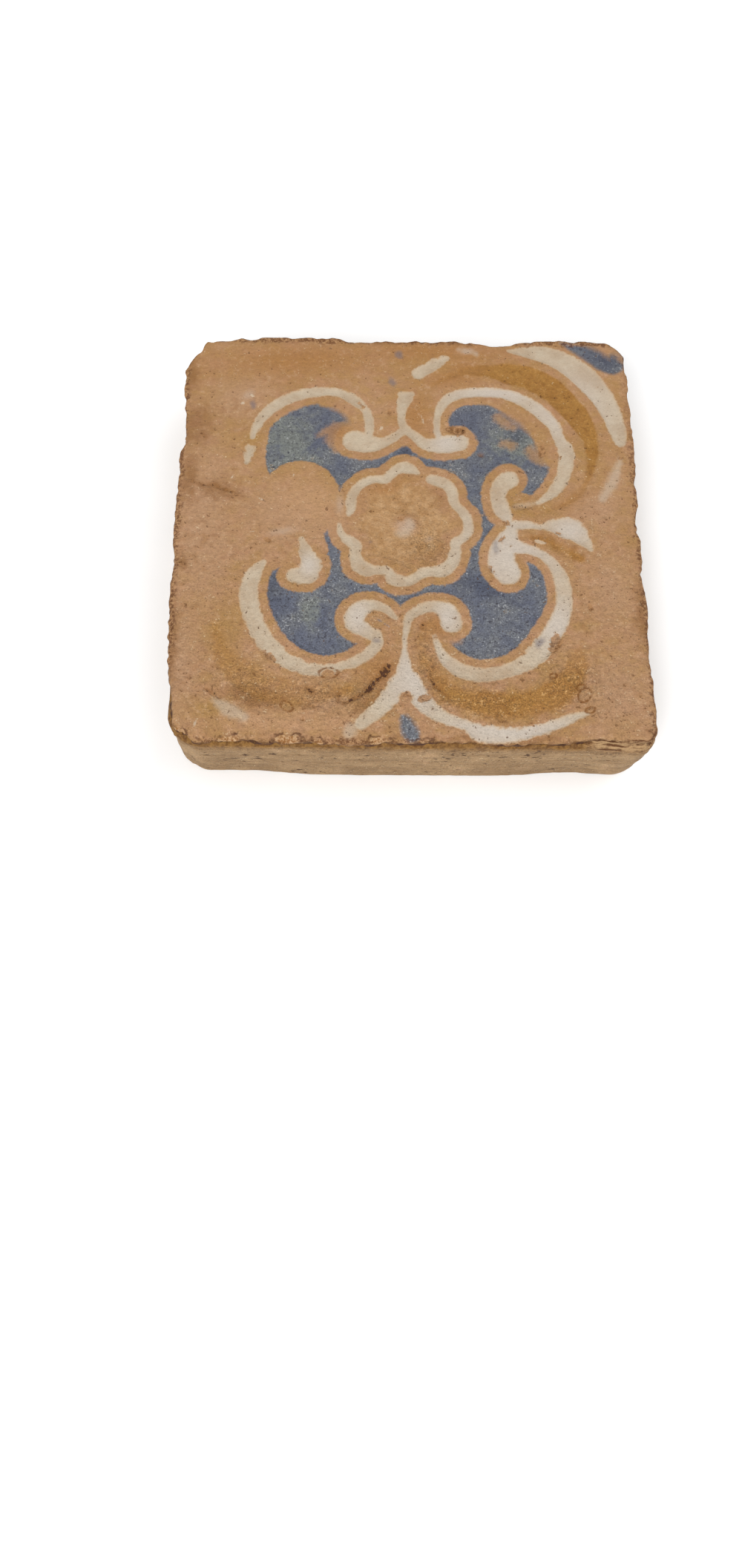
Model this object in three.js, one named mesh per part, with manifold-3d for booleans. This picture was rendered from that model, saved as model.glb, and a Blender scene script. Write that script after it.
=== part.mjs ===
// An old tile of the pressed-cell kind: one thick square of fired clay whose face was pressed with a pattern of
// low cells, kept apart by narrow clay ridges, and glazed white, blue and amber in the cells.
// Long use has worn it: the ridges are level with the face, and on the left side the pattern is gone.
// Millimetres, +Z up. The tile lies on its back, with the origin in the middle of the back.
// The ornament and the uneven edges are drawn on a square of DRAWN_SIDE units. MODULE turns them to millimetres.
import * as THREE from "three";
import { mergeVertices } from "three/addons/utils/BufferGeometryUtils.js";
import Module from "manifold-3d";

// Driving dimensions of the slab
const TILE_SIDE = 140;
const TILE_THICKNESS = 27;
const SIDE_SETBACK = 0.3; // how far the cut sides stand back from the lip
const LIP_HEIGHT = 2.4; // the uneven band under the face
const LIP_ROUND = 0.8; // the worn edge of the face
const FOOT_ROUND = 1; // the worn edge of the back

// Driving dimensions of the cells
const CELL_DEPTH = 0.5;
const FACE_MARGIN = 2.6; // the least clay between a cell and the side of the tile

// The ornament's own sizes, in the units of its drawing
const DRAWN_SIDE = 140;
const MODULE = TILE_SIDE / DRAWN_SIDE;
const RIDGE_WIDTH = 2.8; // clay between a white cell and a coloured one
const ROSETTE_RADIUS = 18.2;
const ROSETTE_LOBE = 1.3;
const ROSETTE_RING_WIDTH = 3.3;
const HEART_BOSS_RADIUS = 3.2;

// How finely the curves are cut
const SIDE_STEPS = 30;
const CORNER_STEPS = 5;
const STROKE_STEPS = 5;
const CONTOUR_STEP = 1;
const CONTOUR_TOLERANCE = 0.09;
const SMALLEST_CELL = 4; // square millimetres

// Each edge of the face in turn, anticlockwise from the front: where the lip stands out from or back behind the
// straight line, as [place along the edge, distance outwards], along the edge's own direction.
const LIP_KNUCKLES = {
  front: [[-66, -1], [-58, -0.2], [-46, -1], [-34, -0.3], [-20, 0.3], [-6, -0.4], [8, -0.2], [26, 0.5],
    [44, 0.4], [52, -1.3], [64, -1.5]],
  right: [[-62, 0.5], [-48, -0.1], [-26, 0.3], [-15, -0.6], [-7, -0.3], [2, -1], [14, 0.1], [28, 1],
    [38, 0.6], [50, -0.1], [64, -0.5]],
  back: [[-64, 0.3], [-50, 1.2], [-42, 0.8], [-29, -1.5], [-22, -0.5], [-14, 0.3], [-5, -0.5], [2, 0.2],
    [12, -0.8], [18, -0.6], [23, 1.1], [36, 0.9], [50, -0.1], [64, -1.8]],
  left: [[-62, 0.2], [-52, 0.5], [-36, -1.3], [-30, -0.6], [-26, 0.4], [-17, 0], [-7, 1], [10, 0.4],
    [28, 0.7], [42, 0], [54, -0.8], [61, -2.2], [66, -2.4]],
};

// The radius of each upright corner at the face, under the lip and at the foot. They are more worn lower down.
const CORNER_RADII = {
  right_front: [3.5, 3.5, 7],
  right_back: [3.5, 5, 8],
  left_back: [3.5, 5, 8],
  left_front: [4, 6.5, 13],
};

// A corner that is broken off: how far the break reaches along the side edge and along the front or back edge.
const CORNER_BREAKS = { left_back: [10.5, 6.5], right_back: [4, 4.5] };

// Each stroke of the white glaze, as [x, y, half width] along its middle
const WHITE = {
  north_stem: [[-0.9, 35, 1.4], [-2, 40, 1.2], [-1.5, 45, 2], [0.1, 48.6, 2.4]],
  north_right_hook: [[-0.9, 36, 1.5], [2.5, 33, 1.6], [6, 30.3, 2.2], [10, 30.2, 3], [15.5, 31, 3.2]],
  north_east_band: [[9.6, 33, 1], [9.3, 40, 1.1], [11.2, 45.4, 1.6], [15.5, 48.8, 1.7], [22, 49.9, 1.8],
    [30, 49.2, 2.1], [37, 45.8, 2.1], [43, 40.3, 2.2], [47, 33, 2.5], [49, 25, 2.3], [48, 18.3, 2],
    [44.5, 13, 1.7], [40, 9.7, 0.9]],
  north_left_hook: [[-0.9, 36, 1.5], [-4, 32.8, 1.5], [-8, 30.6, 1.8], [-12, 30.2, 3], [-16.6, 31, 3.4]],
  north_west_band: [[-12.3, 32, 1.3], [-12.1, 38, 1.4], [-12.6, 42.2, 1.5], [-15.5, 46.5, 1.9],
    [-21, 49.2, 1.9], [-28, 49.2, 2], [-35, 47, 2], [-40.5, 43.2, 1.9], [-45, 38, 1.9], [-48, 32.8, 1.2]],
  north_west_remnant: [[-48.6, 28, 1.5], [-49.3, 23.3, 1.1]],
  east_upper_hook: [[31, 2.5, 0.8], [28.8, 6.5, 2.3], [27.7, 11.5, 2.4], [28.8, 16, 2.7], [31.4, 17.7, 2.9]],
  east_leaf: [[31, 1.5, 1.6], [36, 1.5, 1.5], [40.5, 0.9, 0.8], [45, 1.3, 2.4], [49.5, 0.9, 3.3],
    [53.3, -3.3, 2.4], [55.6, -6.8, 0.9]],
  east_lower_hook: [[31.5, 0.5, 1.6], [29.8, -3.5, 3], [28, -8, 3.8], [28, -12, 4], [29.6, -15.1, 3.5]],
  south_east_band: [[30, -5.5, 3], [36, -7, 1.7], [40.5, -9, 1.8], [44, -13, 2.2], [46, -19, 2.6],
    [46, -25, 2.7], [44, -32, 2.3], [40.5, -38.5, 2.7], [35.5, -44, 3.1], [29, -47.5, 2.8], [22, -49.2, 2.1],
    [15, -48.6, 2], [10, -45, 1.9], [7.5, -40.5, 1.3], [6.8, -36, 0.5]],
  south_right_hook: [[-1.2, -35, 0.9], [-0.3, -30.3, 1.3], [3, -27.7, 1.7], [7.3, -26.6, 1.9],
    [11.2, -28.4, 2.9], [12.2, -32, 3.2]],
  south_left_hook: [[-4.2, -30.6, 0.7], [-7.5, -27.4, 1.3], [-11.5, -26.3, 1.8], [-15.2, -28.4, 2.9],
    [-16.3, -32, 3], [-13, -34.8, 2.2], [-9.9, -37, 1.7]],
  south_west_band: [[-9.9, -36, 1.6], [-9.4, -39.5, 1.7], [-12.5, -43.3, 2], [-18, -46.2, 1.8],
    [-25, -47.3, 1.9], [-32, -46.2, 2.4], [-38, -42.5, 2.5], [-42.5, -36.5, 2.6], [-46.3, -29.5, 2.6],
    [-47.8, -22.5, 2.5], [-46.5, -16.5, 2], [-43.7, -11.8, 1.1]],
  west_lower_hook: [[-32.8, -3.5, 0.9], [-30.5, -9, 2.6], [-29, -13.2, 2.9], [-31, -16.5, 2.8],
    [-34.7, -16.3, 2.2]],
  south_stem: [[-1.2, -33, 1], [-1.4, -38, 0.7], [-1.4, -43, 0.9], [-1.5, -48, 2.4], [-1.2, -51.5, 3.2]],
  south_left_leg: [[-2.5, -51.5, 3], [-6.5, -55.8, 2.6], [-11, -60.3, 2.4], [-16, -65.3, 2], [-18, -68, 2]],
  south_right_leg: [[0, -51, 3], [4, -56.8, 2.6], [9, -60.7, 2.1], [15, -63.6, 1.8], [21, -66.1, 2.2],
    [28, -67, 2], [35, -66.5, 1.7], [42, -64.6, 1.7], [47.5, -61.6, 1.4], [51, -60.5, 0.4]],
  south_west_remnant: [[-56, -57, 1.4], [-53, -60, 2.3], [-48, -62, 1.4]],
  north_east_outer_start: [[4.3, 57, 1.7], [8, 60.2, 2.2], [12.8, 63.8, 1.5]],
  north_east_outer: [[33, 66.6, 0.4], [38, 66.4, 1.6], [44, 65, 2.9], [50.5, 61.6, 3.5], [56.3, 56, 3.7],
    [60.8, 49.5, 3.4], [64.3, 42, 2.9], [66.3, 35, 2.4], [66.6, 29, 1.6]],
  north_east_outer_end: [[66, 24.5, 1.2], [64.5, 20.5, 1.5], [61.8, 15.5, 1.8], [59, 11.2, 1.4]],
};

// Strokes whose glaze and cell are worn away, and which still bound the blue beside them
const LOST = {
  north_west_band_end: [[-48, 32.8, 2], [-49, 25, 2.2], [-47.5, 18, 2], [-44, 12, 1.8], [-38, 8, 1]],
  west_upper_hook: [[-30, 3, 4], [-33, 12.5, 8.4]],
  south_west_band_end: [[-43.7, -11.8, 1.5], [-38, -8, 2.5], [-33, -4, 3]],
};

const AMBER = {
  north_east: [[20, 59.8, 1], [27, 59.3, 2.6], [34, 57.6, 3.3], [41, 54, 3.6], [47.5, 48.5, 3.5],
    [52.5, 42, 3.4], [55.8, 35, 3], [57.3, 28, 2.2], [56.5, 20, 1.3], [52.5, 12.5, 1.2], [46, 8.2, 1.4],
    [38, 6, 1.4]],
  east: [[36.5, -4, 1.3], [42, -4.3, 1.8], [47.5, -6.8, 2], [52, -10.5, 1.2]],
  south_east: [[5, -31.5, 1.2], [4, -38, 2], [6, -46, 3], [11, -53, 3.6], [19, -57.8, 4.2], [28, -58.3, 4.6],
    [37, -56, 4.4], [44, -50.5, 4], [48.5, -44, 3.2]],
  south_west: [[-56.5, -33, 2], [-53, -43, 3.4], [-45, -50.5, 4.2], [-36, -54.5, 4], [-28, -55.5, 3],
    [-18, -54, 2.4]],
};

const BLUE_DROP = [[-2, -62.8, 1.3], [-0.9, -66.5, 2]];
const CORNER_BLUE = [[51, 70, 1], [57, 67, 1.8], [62.5, 64, 2.6], [66, 61, 2]];

// The four fields of blue lie inside the white bands. Each is closed through the roots of the hooks beside it.
const HOOK_ROOTS = { north: [-0.9, 34], east: [31, 1.5], south: [-1.3, -31], west: [-31, 0] };
const HEART = [-0.7, 1.3];
const QUARTERS = [
  [HOOK_ROOTS.north, WHITE.north_east_band, HOOK_ROOTS.east],
  [HOOK_ROOTS.east, WHITE.south_east_band, HOOK_ROOTS.south],
  [HOOK_ROOTS.south, WHITE.south_west_band, HOOK_ROOTS.west],
  [HOOK_ROOTS.north, [...WHITE.north_west_band, ...LOST.north_west_band_end], HOOK_ROOTS.west],
].map(([start, band, end]) => [start, ...band.map(([x, y]) => [x, y]), end, HEART]);

// Worn places in the drawing, where a cell is gone: [x, y, radius]
const WORN = [[4.6, 19.4, 1.7], [-30, 7.5, 9.4], [35, 9, 4], [-14, 43.9, 0.6], [7.5, -36.9, 0.5]];

const half = TILE_SIDE / 2;

// A smooth line through a stroke's points, as short segments with a half width at each end
function smoothed(points) {
  const line = new THREE.CatmullRomCurve3(points.map((p) => new THREE.Vector3(...p)), false, "centripetal");
  return line.getPoints((points.length - 1) * STROKE_STEPS);
}

function segments(strokes) {
  return Object.values(strokes).flatMap((points) => {
    const line = smoothed(points);
    return line.slice(1).map((end, i) => [line[i], end]);
  });
}

// Distance from a place to the edge of the nearest stroke, negative inside it
function distanceTo(strokeSegments, x, y) {
  let nearest = Infinity;
  for (const [a, b] of strokeSegments) {
    const dx = b.x - a.x;
    const dy = b.y - a.y;
    const along = THREE.MathUtils.clamp(((x - a.x) * dx + (y - a.y) * dy) / (dx * dx + dy * dy), 0, 1);
    const offX = x - a.x - dx * along;
    const offY = y - a.y - dy * along;
    nearest = Math.min(nearest, Math.sqrt(offX * offX + offY * offY) - a.z - (b.z - a.z) * along);
  }
  return nearest;
}

function insidePolygon(polygon, x, y) {
  let inside = false;
  polygon.forEach(([x1, y1], i) => {
    const [x2, y2] = polygon[(i + 1) % polygon.length];
    if (y1 > y !== y2 > y && x < x1 + ((x2 - x1) * (y - y1)) / (y2 - y1)) inside = !inside;
  });
  return inside;
}

const whiteSegments = segments(WHITE);
const boundingSegments = [...whiteSegments, ...segments(LOST)];
const amberSegments = segments(AMBER);
const blueSegments = segments({ BLUE_DROP, CORNER_BLUE });
const whiteHalf = ROSETTE_RING_WIDTH / 2;

// Distance outwards from the middle of the rosette's scalloped white ring
function fromRing(x, y) {
  const dx = x - HEART[0];
  const dy = y - HEART[1];
  return Math.hypot(dx, dy) - ROSETTE_RADIUS - ROSETTE_LOBE * Math.cos(8 * Math.atan2(dy, dx));
}

const wornBy = (x, y) => Math.max(...WORN.map(([wx, wy, radius]) => radius - Math.hypot(x - wx, y - wy)));

function whiteCell(x, y) {
  const ring = Math.abs(fromRing(x, y)) - whiteHalf;
  return Math.max(Math.min(distanceTo(whiteSegments, x, y), ring), wornBy(x, y));
}

function blueCell(x, y) {
  const clay = Math.max(
    RIDGE_WIDTH - distanceTo(boundingSegments, x, y),
    RIDGE_WIDTH + whiteHalf - fromRing(x, y),
    wornBy(x, y),
  );
  const field = QUARTERS.some((quarter) => insidePolygon(quarter, x, y)) ? clay : RIDGE_WIDTH;
  return Math.min(field, distanceTo(blueSegments, x, y));
}

function amberCell(x, y) {
  const heart = Math.max(
    fromRing(x, y) + whiteHalf + RIDGE_WIDTH,
    HEART_BOSS_RADIUS - Math.hypot(x - HEART[0], y - HEART[1]),
  );
  const ridge = RIDGE_WIDTH - distanceTo(whiteSegments, x, y);
  return Math.max(Math.min(distanceTo(amberSegments, x, y), heart), ridge * 0.5);
}

// A field of the drawing in millimetres, kept clear of the tile's sides
function onTile(field) {
  const limit = half - FACE_MARGIN;
  return (x, y) => Math.max(field(x / MODULE, y / MODULE) * MODULE, Math.abs(x) - limit, Math.abs(y) - limit);
}

// Closed outlines of the places where a field is negative, each with that place on its left
function contours(field) {
  const count = Math.round(TILE_SIDE / CONTOUR_STEP);
  const at = (i) => -half + (i * TILE_SIDE) / count;
  const values = Array.from({ length: count + 1 }, (_, j) =>
    Array.from({ length: count + 1 }, (_, i) => field(at(i), at(j)) || Number.EPSILON));
  const crossing = new Map();
  const next = new Map();
  // The point where the outline crosses the grid line from node (i, j) to node (k, l)
  const cross = (i, j, k, l) => {
    const key = [Math.min(i, k), Math.min(j, l), i === k ? "up" : "along"].join();
    const share = values[j][i] / (values[j][i] - values[l][k]);
    const kept = THREE.MathUtils.clamp(share, 0.05, 0.95);
    crossing.set(key, new THREE.Vector2(at(i) + (at(k) - at(i)) * kept, at(j) + (at(l) - at(j)) * kept));
    return key;
  };
  for (let j = 0; j < count; j++) {
    for (let i = 0; i < count; i++) {
      const nodes = [[i, j], [i + 1, j], [i + 1, j + 1], [i, j + 1]];
      const inside = nodes.map(([k, l]) => values[l][k] < 0);
      nodes.forEach((node, n) => {
        if (!inside[n] || inside[(n + 1) % 4]) return;
        let entry = n;
        while (inside[(entry + 3) % 4]) entry = (entry + 3) % 4;
        const leaving = cross(...node, ...nodes[(n + 1) % 4]);
        next.set(leaving, cross(...nodes[entry], ...nodes[(entry + 3) % 4]));
      });
    }
  }
  const loops = [];
  while (next.size) {
    const loop = [];
    let key = next.keys().next().value;
    while (next.has(key)) {
      loop.push(crossing.get(key));
      const following = next.get(key);
      next.delete(key);
      key = following;
    }
    loops.push(loop);
  }
  return loops;
}

// Distance from a point to the straight line between two others
function offLine(point, from, to) {
  const line = new THREE.Line3(new THREE.Vector3(from.x, from.y, 0), new THREE.Vector3(to.x, to.y, 0));
  const place = new THREE.Vector3(point.x, point.y, 0);
  return line.closestPointToPoint(place, true, new THREE.Vector3()).distanceTo(place);
}

// The open line without the points that lie within the tolerance of a straight run
function thinned(points) {
  if (points.length < 3) return points;
  const distances = points.slice(1, -1).map((p) => offLine(p, points[0], points.at(-1)));
  const furthest = Math.max(...distances);
  if (furthest < CONTOUR_TOLERANCE * MODULE) return [points[0], points.at(-1)];
  const split = distances.indexOf(furthest) + 1;
  return [...thinned(points.slice(0, split + 1)).slice(0, -1), ...thinned(points.slice(split))];
}

// The closed outline, thinned in two halves
function simplified(loop) {
  const middle = Math.floor(loop.length / 2);
  const firstHalf = thinned(loop.slice(0, middle + 1));
  const secondHalf = thinned([...loop.slice(middle), loop[0]]);
  return [...firstHalf.slice(0, -1), ...secondHalf.slice(0, -1)];
}

// How far the lip stands out at a place along an edge, with easy curves between its knuckles
function lipWander(edge, along) {
  const knuckles = LIP_KNUCKLES[edge];
  const place = along / MODULE;
  if (place <= knuckles[0][0]) return knuckles[0][1];
  if (place >= knuckles.at(-1)[0]) return knuckles.at(-1)[1];
  const after = knuckles.findIndex(([at]) => at > place);
  const [at0, out0] = knuckles[after - 1];
  const [at1, out1] = knuckles[after];
  return THREE.MathUtils.lerp(out0, out1, THREE.MathUtils.smoothstep(place, at0, at1));
}

// The tile's outline at one level: a square with round corners, moved outwards by outset, with a share of the
// lip's wander and of the broken corners
function outline(outset, radii, lipShare, breakShare) {
  const reach = half + outset;
  const edges = Object.keys(LIP_KNUCKLES);
  const points = [];
  edges.forEach((edge, turn) => {
    const turned = (along, out) =>
      new THREE.Vector2(along, -out).rotateAround(new THREE.Vector2(), (turn * Math.PI) / 2);
    const start = radii[(turn + 3) % 4] - reach;
    const radius = radii[turn];
    const end = reach - radius;
    for (let i = 0; i <= SIDE_STEPS; i++) {
      const along = THREE.MathUtils.lerp(start, end, i / SIDE_STEPS);
      points.push(turned(along, reach + lipShare * lipWander(edge, along)));
    }
    const nextEdge = edges[(turn + 1) % 4];
    const endRadius = radius + lipShare * lipWander(edge, end);
    const nextRadius = radius + lipShare * lipWander(nextEdge, -end);
    for (let i = 1; i < CORNER_STEPS; i++) {
      const angle = (i / CORNER_STEPS) * (Math.PI / 2);
      points.push(turned(end + Math.sin(angle) * nextRadius, end + Math.cos(angle) * endRadius));
    }
  });
  return points.map((p) => brokenCorner(p, breakShare));
}

// Moves a point in behind the break of its corner
function brokenCorner(point, share) {
  for (const [corner, [alongSide, alongBack]] of Object.entries(CORNER_BREAKS)) {
    const sign = corner.startsWith("left") ? -1 : 1;
    const past = (point.x * sign - half) / (alongBack * MODULE) + (point.y - half) / (alongSide * MODULE) + 1;
    if (past > 0) {
      const back = (share * past * MODULE) / (1 / alongSide + 1 / alongBack);
      point.set(point.x - sign * back, point.y - back);
    }
  }
  return point;
}

// A closed body through outlines of equal length, from the lowest to the highest
function lofted(levels) {
  const positions = [];
  const index = [];
  levels.forEach(([z, points]) => points.forEach((p) => positions.push(p.x, p.y, z)));
  const count = levels[0][1].length;
  for (let level = 0; level < levels.length - 1; level++) {
    for (let i = 0; i < count; i++) {
      const a = level * count + i;
      const b = level * count + ((i + 1) % count);
      index.push(a, b, b + count, a, b + count, a + count);
    }
  }
  const top = (levels.length - 1) * count;
  for (const [a, b, c] of THREE.ShapeUtils.triangulateShape(levels.at(-1)[1], [])) {
    index.push(top + a, top + b, top + c);
  }
  for (const [a, b, c] of THREE.ShapeUtils.triangulateShape(levels[0][1], [])) index.push(a, c, b);
  const geometry = new THREE.BufferGeometry();
  geometry.setAttribute("position", new THREE.Float32BufferAttribute(positions, 3));
  geometry.setIndex(index);
  return geometry;
}

function slab() {
  const [face, top, foot] = [0, 1, 2].map((level) => Object.values(CORNER_RADII).map((radii) => radii[level]));
  const sideTop = TILE_THICKNESS - LIP_HEIGHT;
  return lofted([
    [0, outline(-SIDE_SETBACK - FOOT_ROUND, foot, 0, 0.6)],
    [FOOT_ROUND * 0.3, outline(-SIDE_SETBACK - FOOT_ROUND * 0.3, foot, 0, 0.6)],
    [FOOT_ROUND, outline(-SIDE_SETBACK, foot, 0, 0.6)],
    [sideTop, outline(-SIDE_SETBACK, top, 0, 0.9)],
    [sideTop + LIP_HEIGHT * 0.3, outline(0, face, 0.8, 1)],
    [TILE_THICKNESS - LIP_ROUND, outline(0, face, 1, 1)],
    [TILE_THICKNESS - LIP_ROUND * 0.3, outline(-LIP_ROUND * 0.3, face, 1, 1)],
    [TILE_THICKNESS, outline(-LIP_ROUND, face, 1, 1)],
  ]);
}

const wasm = await Module();
wasm.setup();

function solid(geometry) {
  geometry.deleteAttribute("normal");
  geometry.deleteAttribute("uv");
  const merged = mergeVertices(geometry);
  return new wasm.Manifold(new wasm.Mesh({
    numProp: 3,
    vertProperties: new Float32Array(merged.attributes.position.array),
    triVerts: new Uint32Array(merged.index.array),
  }));
}

function geometryOf(body) {
  const mesh = body.getMesh();
  const geometry = new THREE.BufferGeometry();
  geometry.setAttribute("position", new THREE.BufferAttribute(mesh.vertProperties, 3));
  geometry.setIndex(new THREE.BufferAttribute(mesh.triVerts, 1));
  geometry.computeVertexNormals();
  return geometry;
}

// Cuts one glaze's cells into the face. A hole in a cell, such as a boss, is left standing.
function cutCells(body, field) {
  let cells;
  let standing;
  for (const loop of contours(onTile(field)).map(simplified)) {
    const area = THREE.ShapeUtils.area(loop);
    if (loop.length < 3 || Math.abs(area) < SMALLEST_CELL) continue;
    const shape = new THREE.Shape(area < 0 ? [...loop].reverse() : loop);
    const depth = CELL_DEPTH + 1;
    const prism = solid(new THREE.ExtrudeGeometry(shape, { depth, bevelEnabled: false })
      .translate(0, 0, TILE_THICKNESS - CELL_DEPTH));
    if (area > 0) cells = cells ? cells.add(prism) : prism;
    else standing = standing ? standing.add(prism) : prism;
  }
  if (standing) cells = cells.subtract(standing);
  return body.subtract(cells);
}

function tile() {
  const body = [whiteCell, blueCell, amberCell].reduce(cutCells, solid(slab()));
  const material = new THREE.MeshStandardMaterial({ color: 0xb58a66, roughness: 0.8, metalness: 0 });
  const mesh = new THREE.Mesh(geometryOf(body), material);
  mesh.name = "tile";
  return mesh;
}

const part = new THREE.Group();
part.add(tile());

export default part;
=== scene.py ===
"""An old pressed-cell tile: fired clay with worn white, blue and amber glaze, on a pale floor.

Lengths in the tables are millimetres in the tile's own frame: the origin is in the middle of the back,
+Z is out of the glazed face and +Y is the edge furthest from the camera.
"""

import math

import bpy
import numpy as np
from mathutils import Matrix, Vector


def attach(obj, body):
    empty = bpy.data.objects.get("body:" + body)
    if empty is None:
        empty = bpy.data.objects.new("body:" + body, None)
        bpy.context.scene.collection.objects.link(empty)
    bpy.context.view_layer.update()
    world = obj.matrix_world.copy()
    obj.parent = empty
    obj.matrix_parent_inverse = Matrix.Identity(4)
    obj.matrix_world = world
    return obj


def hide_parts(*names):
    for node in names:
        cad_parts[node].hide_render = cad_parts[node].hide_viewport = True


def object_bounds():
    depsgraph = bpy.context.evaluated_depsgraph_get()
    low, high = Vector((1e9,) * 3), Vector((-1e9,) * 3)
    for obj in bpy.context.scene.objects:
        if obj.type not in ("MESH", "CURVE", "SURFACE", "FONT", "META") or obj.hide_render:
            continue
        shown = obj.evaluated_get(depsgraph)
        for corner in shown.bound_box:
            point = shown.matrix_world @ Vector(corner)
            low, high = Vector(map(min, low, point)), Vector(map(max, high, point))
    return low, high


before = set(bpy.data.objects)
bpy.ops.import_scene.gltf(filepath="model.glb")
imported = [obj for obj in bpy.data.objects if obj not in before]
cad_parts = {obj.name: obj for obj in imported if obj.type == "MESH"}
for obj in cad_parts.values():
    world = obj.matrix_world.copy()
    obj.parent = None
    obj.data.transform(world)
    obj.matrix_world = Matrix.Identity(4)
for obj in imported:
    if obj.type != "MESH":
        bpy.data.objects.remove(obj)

cad_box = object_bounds()

MM = 0.001

# The tile
TILE_SIDE = 140.0
TILE_THICKNESS = 27.0
HALF = TILE_SIDE / 2
FACE_GRID = 250  # cells of the mesh along each side of the face
BACK_GRID = 24
BACK_GRID_SIDE = 132.0
EDGE_REACH = 12.0  # how far in from the outline the mesh gives way to it

# The side: depth under the face, outset from the straight side, share of the lip's wander, crumbliness
SIDE_PROFILE = [
    (0, -1, 1, 0.9), (0.12, -0.7, 1, 1), (0.3, -0.4, 1, 1), (0.6, -0.12, 1, 1),
    (1, 0.05, 1, 1), (1.5, 0.05, 1, 1), (2.2, -0.1, 0.9, 1.2), (2.8, -0.5, 0.6, 1.2),
    (3.3, -1.1, 0.3, 1), (3.9, -0.8, 0.1, 0.7), (4.6, -0.35, 0, 0.4), (25.8, -0.3, 0, 0.25),
    (26.4, -0.4, 0, 0.2), (26.8, -0.6, 0, 0.15), (27, -0.95, 0, 0.1),
]
# The depths of the mesh's rows down the side
SIDE_ROWS = [
    0.12, 0.3, 0.6, 1, 1.5, 2.2, 2.8, 3.3, 3.9, 4.6, 5.6, 6.8, 8.2, 9.7, 11.3, 13, 14.7, 16.4, 18.1,
    19.8, 21.4, 22.9, 24.2, 25.2, 25.9, 26.4, 26.8, 27,
]

# The lip's wander in and out along each edge, run anticlockwise: place along the edge, distance outwards
LIP_KNUCKLES = {
    "front": [(-66, -1), (-58, -0.2), (-46, -1), (-34, -0.3), (-20, 0.3), (-6, -0.4), (8, -0.8),
        (26, -0.2), (44, -0.4), (52, -1.5), (64, -1.5)],
    "right": [(-62, 0.2), (-48, -0.1), (-26, 0.5), (-15, -0.4), (-7, 0.3), (2, -0.4), (14, 0.2),
        (28, 1), (38, 1.1), (50, 0.6), (64, 0.2)],
    "back": [(-64, 1), (-50, 1.4), (-42, 1), (-29, -1.4), (-22, 0.1), (-14, 0.8), (-5, 0), (2, 0.4),
        (12, -0.5), (18, 0.1), (23, 1.6), (36, 1.6), (50, 0.7), (64, -1)],
    "left": [(-62, 0.2), (-52, 0.5), (-36, -1.3), (-30, -0.6), (-26, 0.4), (-17, 0), (-7, 1), (10, 0.4),
        (28, 0.7), (42, 0), (54, -1), (61, -2.5), (66, -2.5)],
}

# The radius of each upright corner at these depths under the face, by its sides of X and Y
CORNER_DEPTHS = (1, 3, 6, 10, 14, 18, 22, 24, 27)
BACK_RADII = (3.5, 4.5, 5, 5.4, 5.9, 6.5, 7, 7.5, 8)
CORNER_RADII = {
    (1, 1): BACK_RADII,
    (-1, 1): BACK_RADII,
    (1, -1): (4, 5, 6, 6.6, 7, 7.4, 8, 8.6, 9.8),
    (-1, -1): (7, 8.4, 9.4, 9.2, 9, 9.2, 9.6, 9.8, 9.6),
}
# How the right front corner swells and the left front one draws in, by the depth under the face
RIGHT_FRONT_BULGE = 0.4
BULGE_BY_DEPTH = (2, 5, 14, 20), (0.9, 3, 3.4, 2.5)
BULGE_SPREAD = 10.0
LEFT_FRONT_PULL = 0.9
PULL_BY_DEPTH = (4, 9), (0, 1)
PULL_SPREAD = 125**0.5
# The foot of the front side swells in its middle and draws in towards its ends
FRONT_BELLY = 0.45
FRONT_ENDS_PULL = 0.9
BELLY_BY_DEPTH = (6, 22), (0, 1)
BELLY_REACH = 48.0
ENDS_FROM = 28.0

# Corners that are broken off: side of X, reach along the side edge, reach along the back edge
CORNER_BREAKS = [(-1, 11.5, 7), (1, 4.6, 4.6)]
BREAK_REACH = 14.0
BREAK_BY_DEPTH = (1.5, 3, 27), (1, 0.9, 0.6)

# The unevenness of the lip and of the sides, and the smoother crumbs of the right front corner
LIP_ENDS = (3.5, 5)
LIP_CRUMBS = 0.42
LIP_GRAINS = 0.30
SIDE_WAVES = 0.10
SIDE_LAYERS = 0.07
CALM = 0.7
CALM_SPREAD = 50**0.5

# Bites out of the outline: x, y, pull in x, pull in y, size
BITES = [(-66.2, 65.2, 0.5, -0.5, 1.1), (-69.6, 54.5, 0.5, 0, 1.2), (-69, 31.5, 0.6, 0.2, 1),
         (52, -68.5, 0, 0.5, 2), (-63.5, -68, 0.2, 0.8, 1.6)]
BITE_BY_DEPTH = (1, 6), (1, 0.3)

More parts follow.
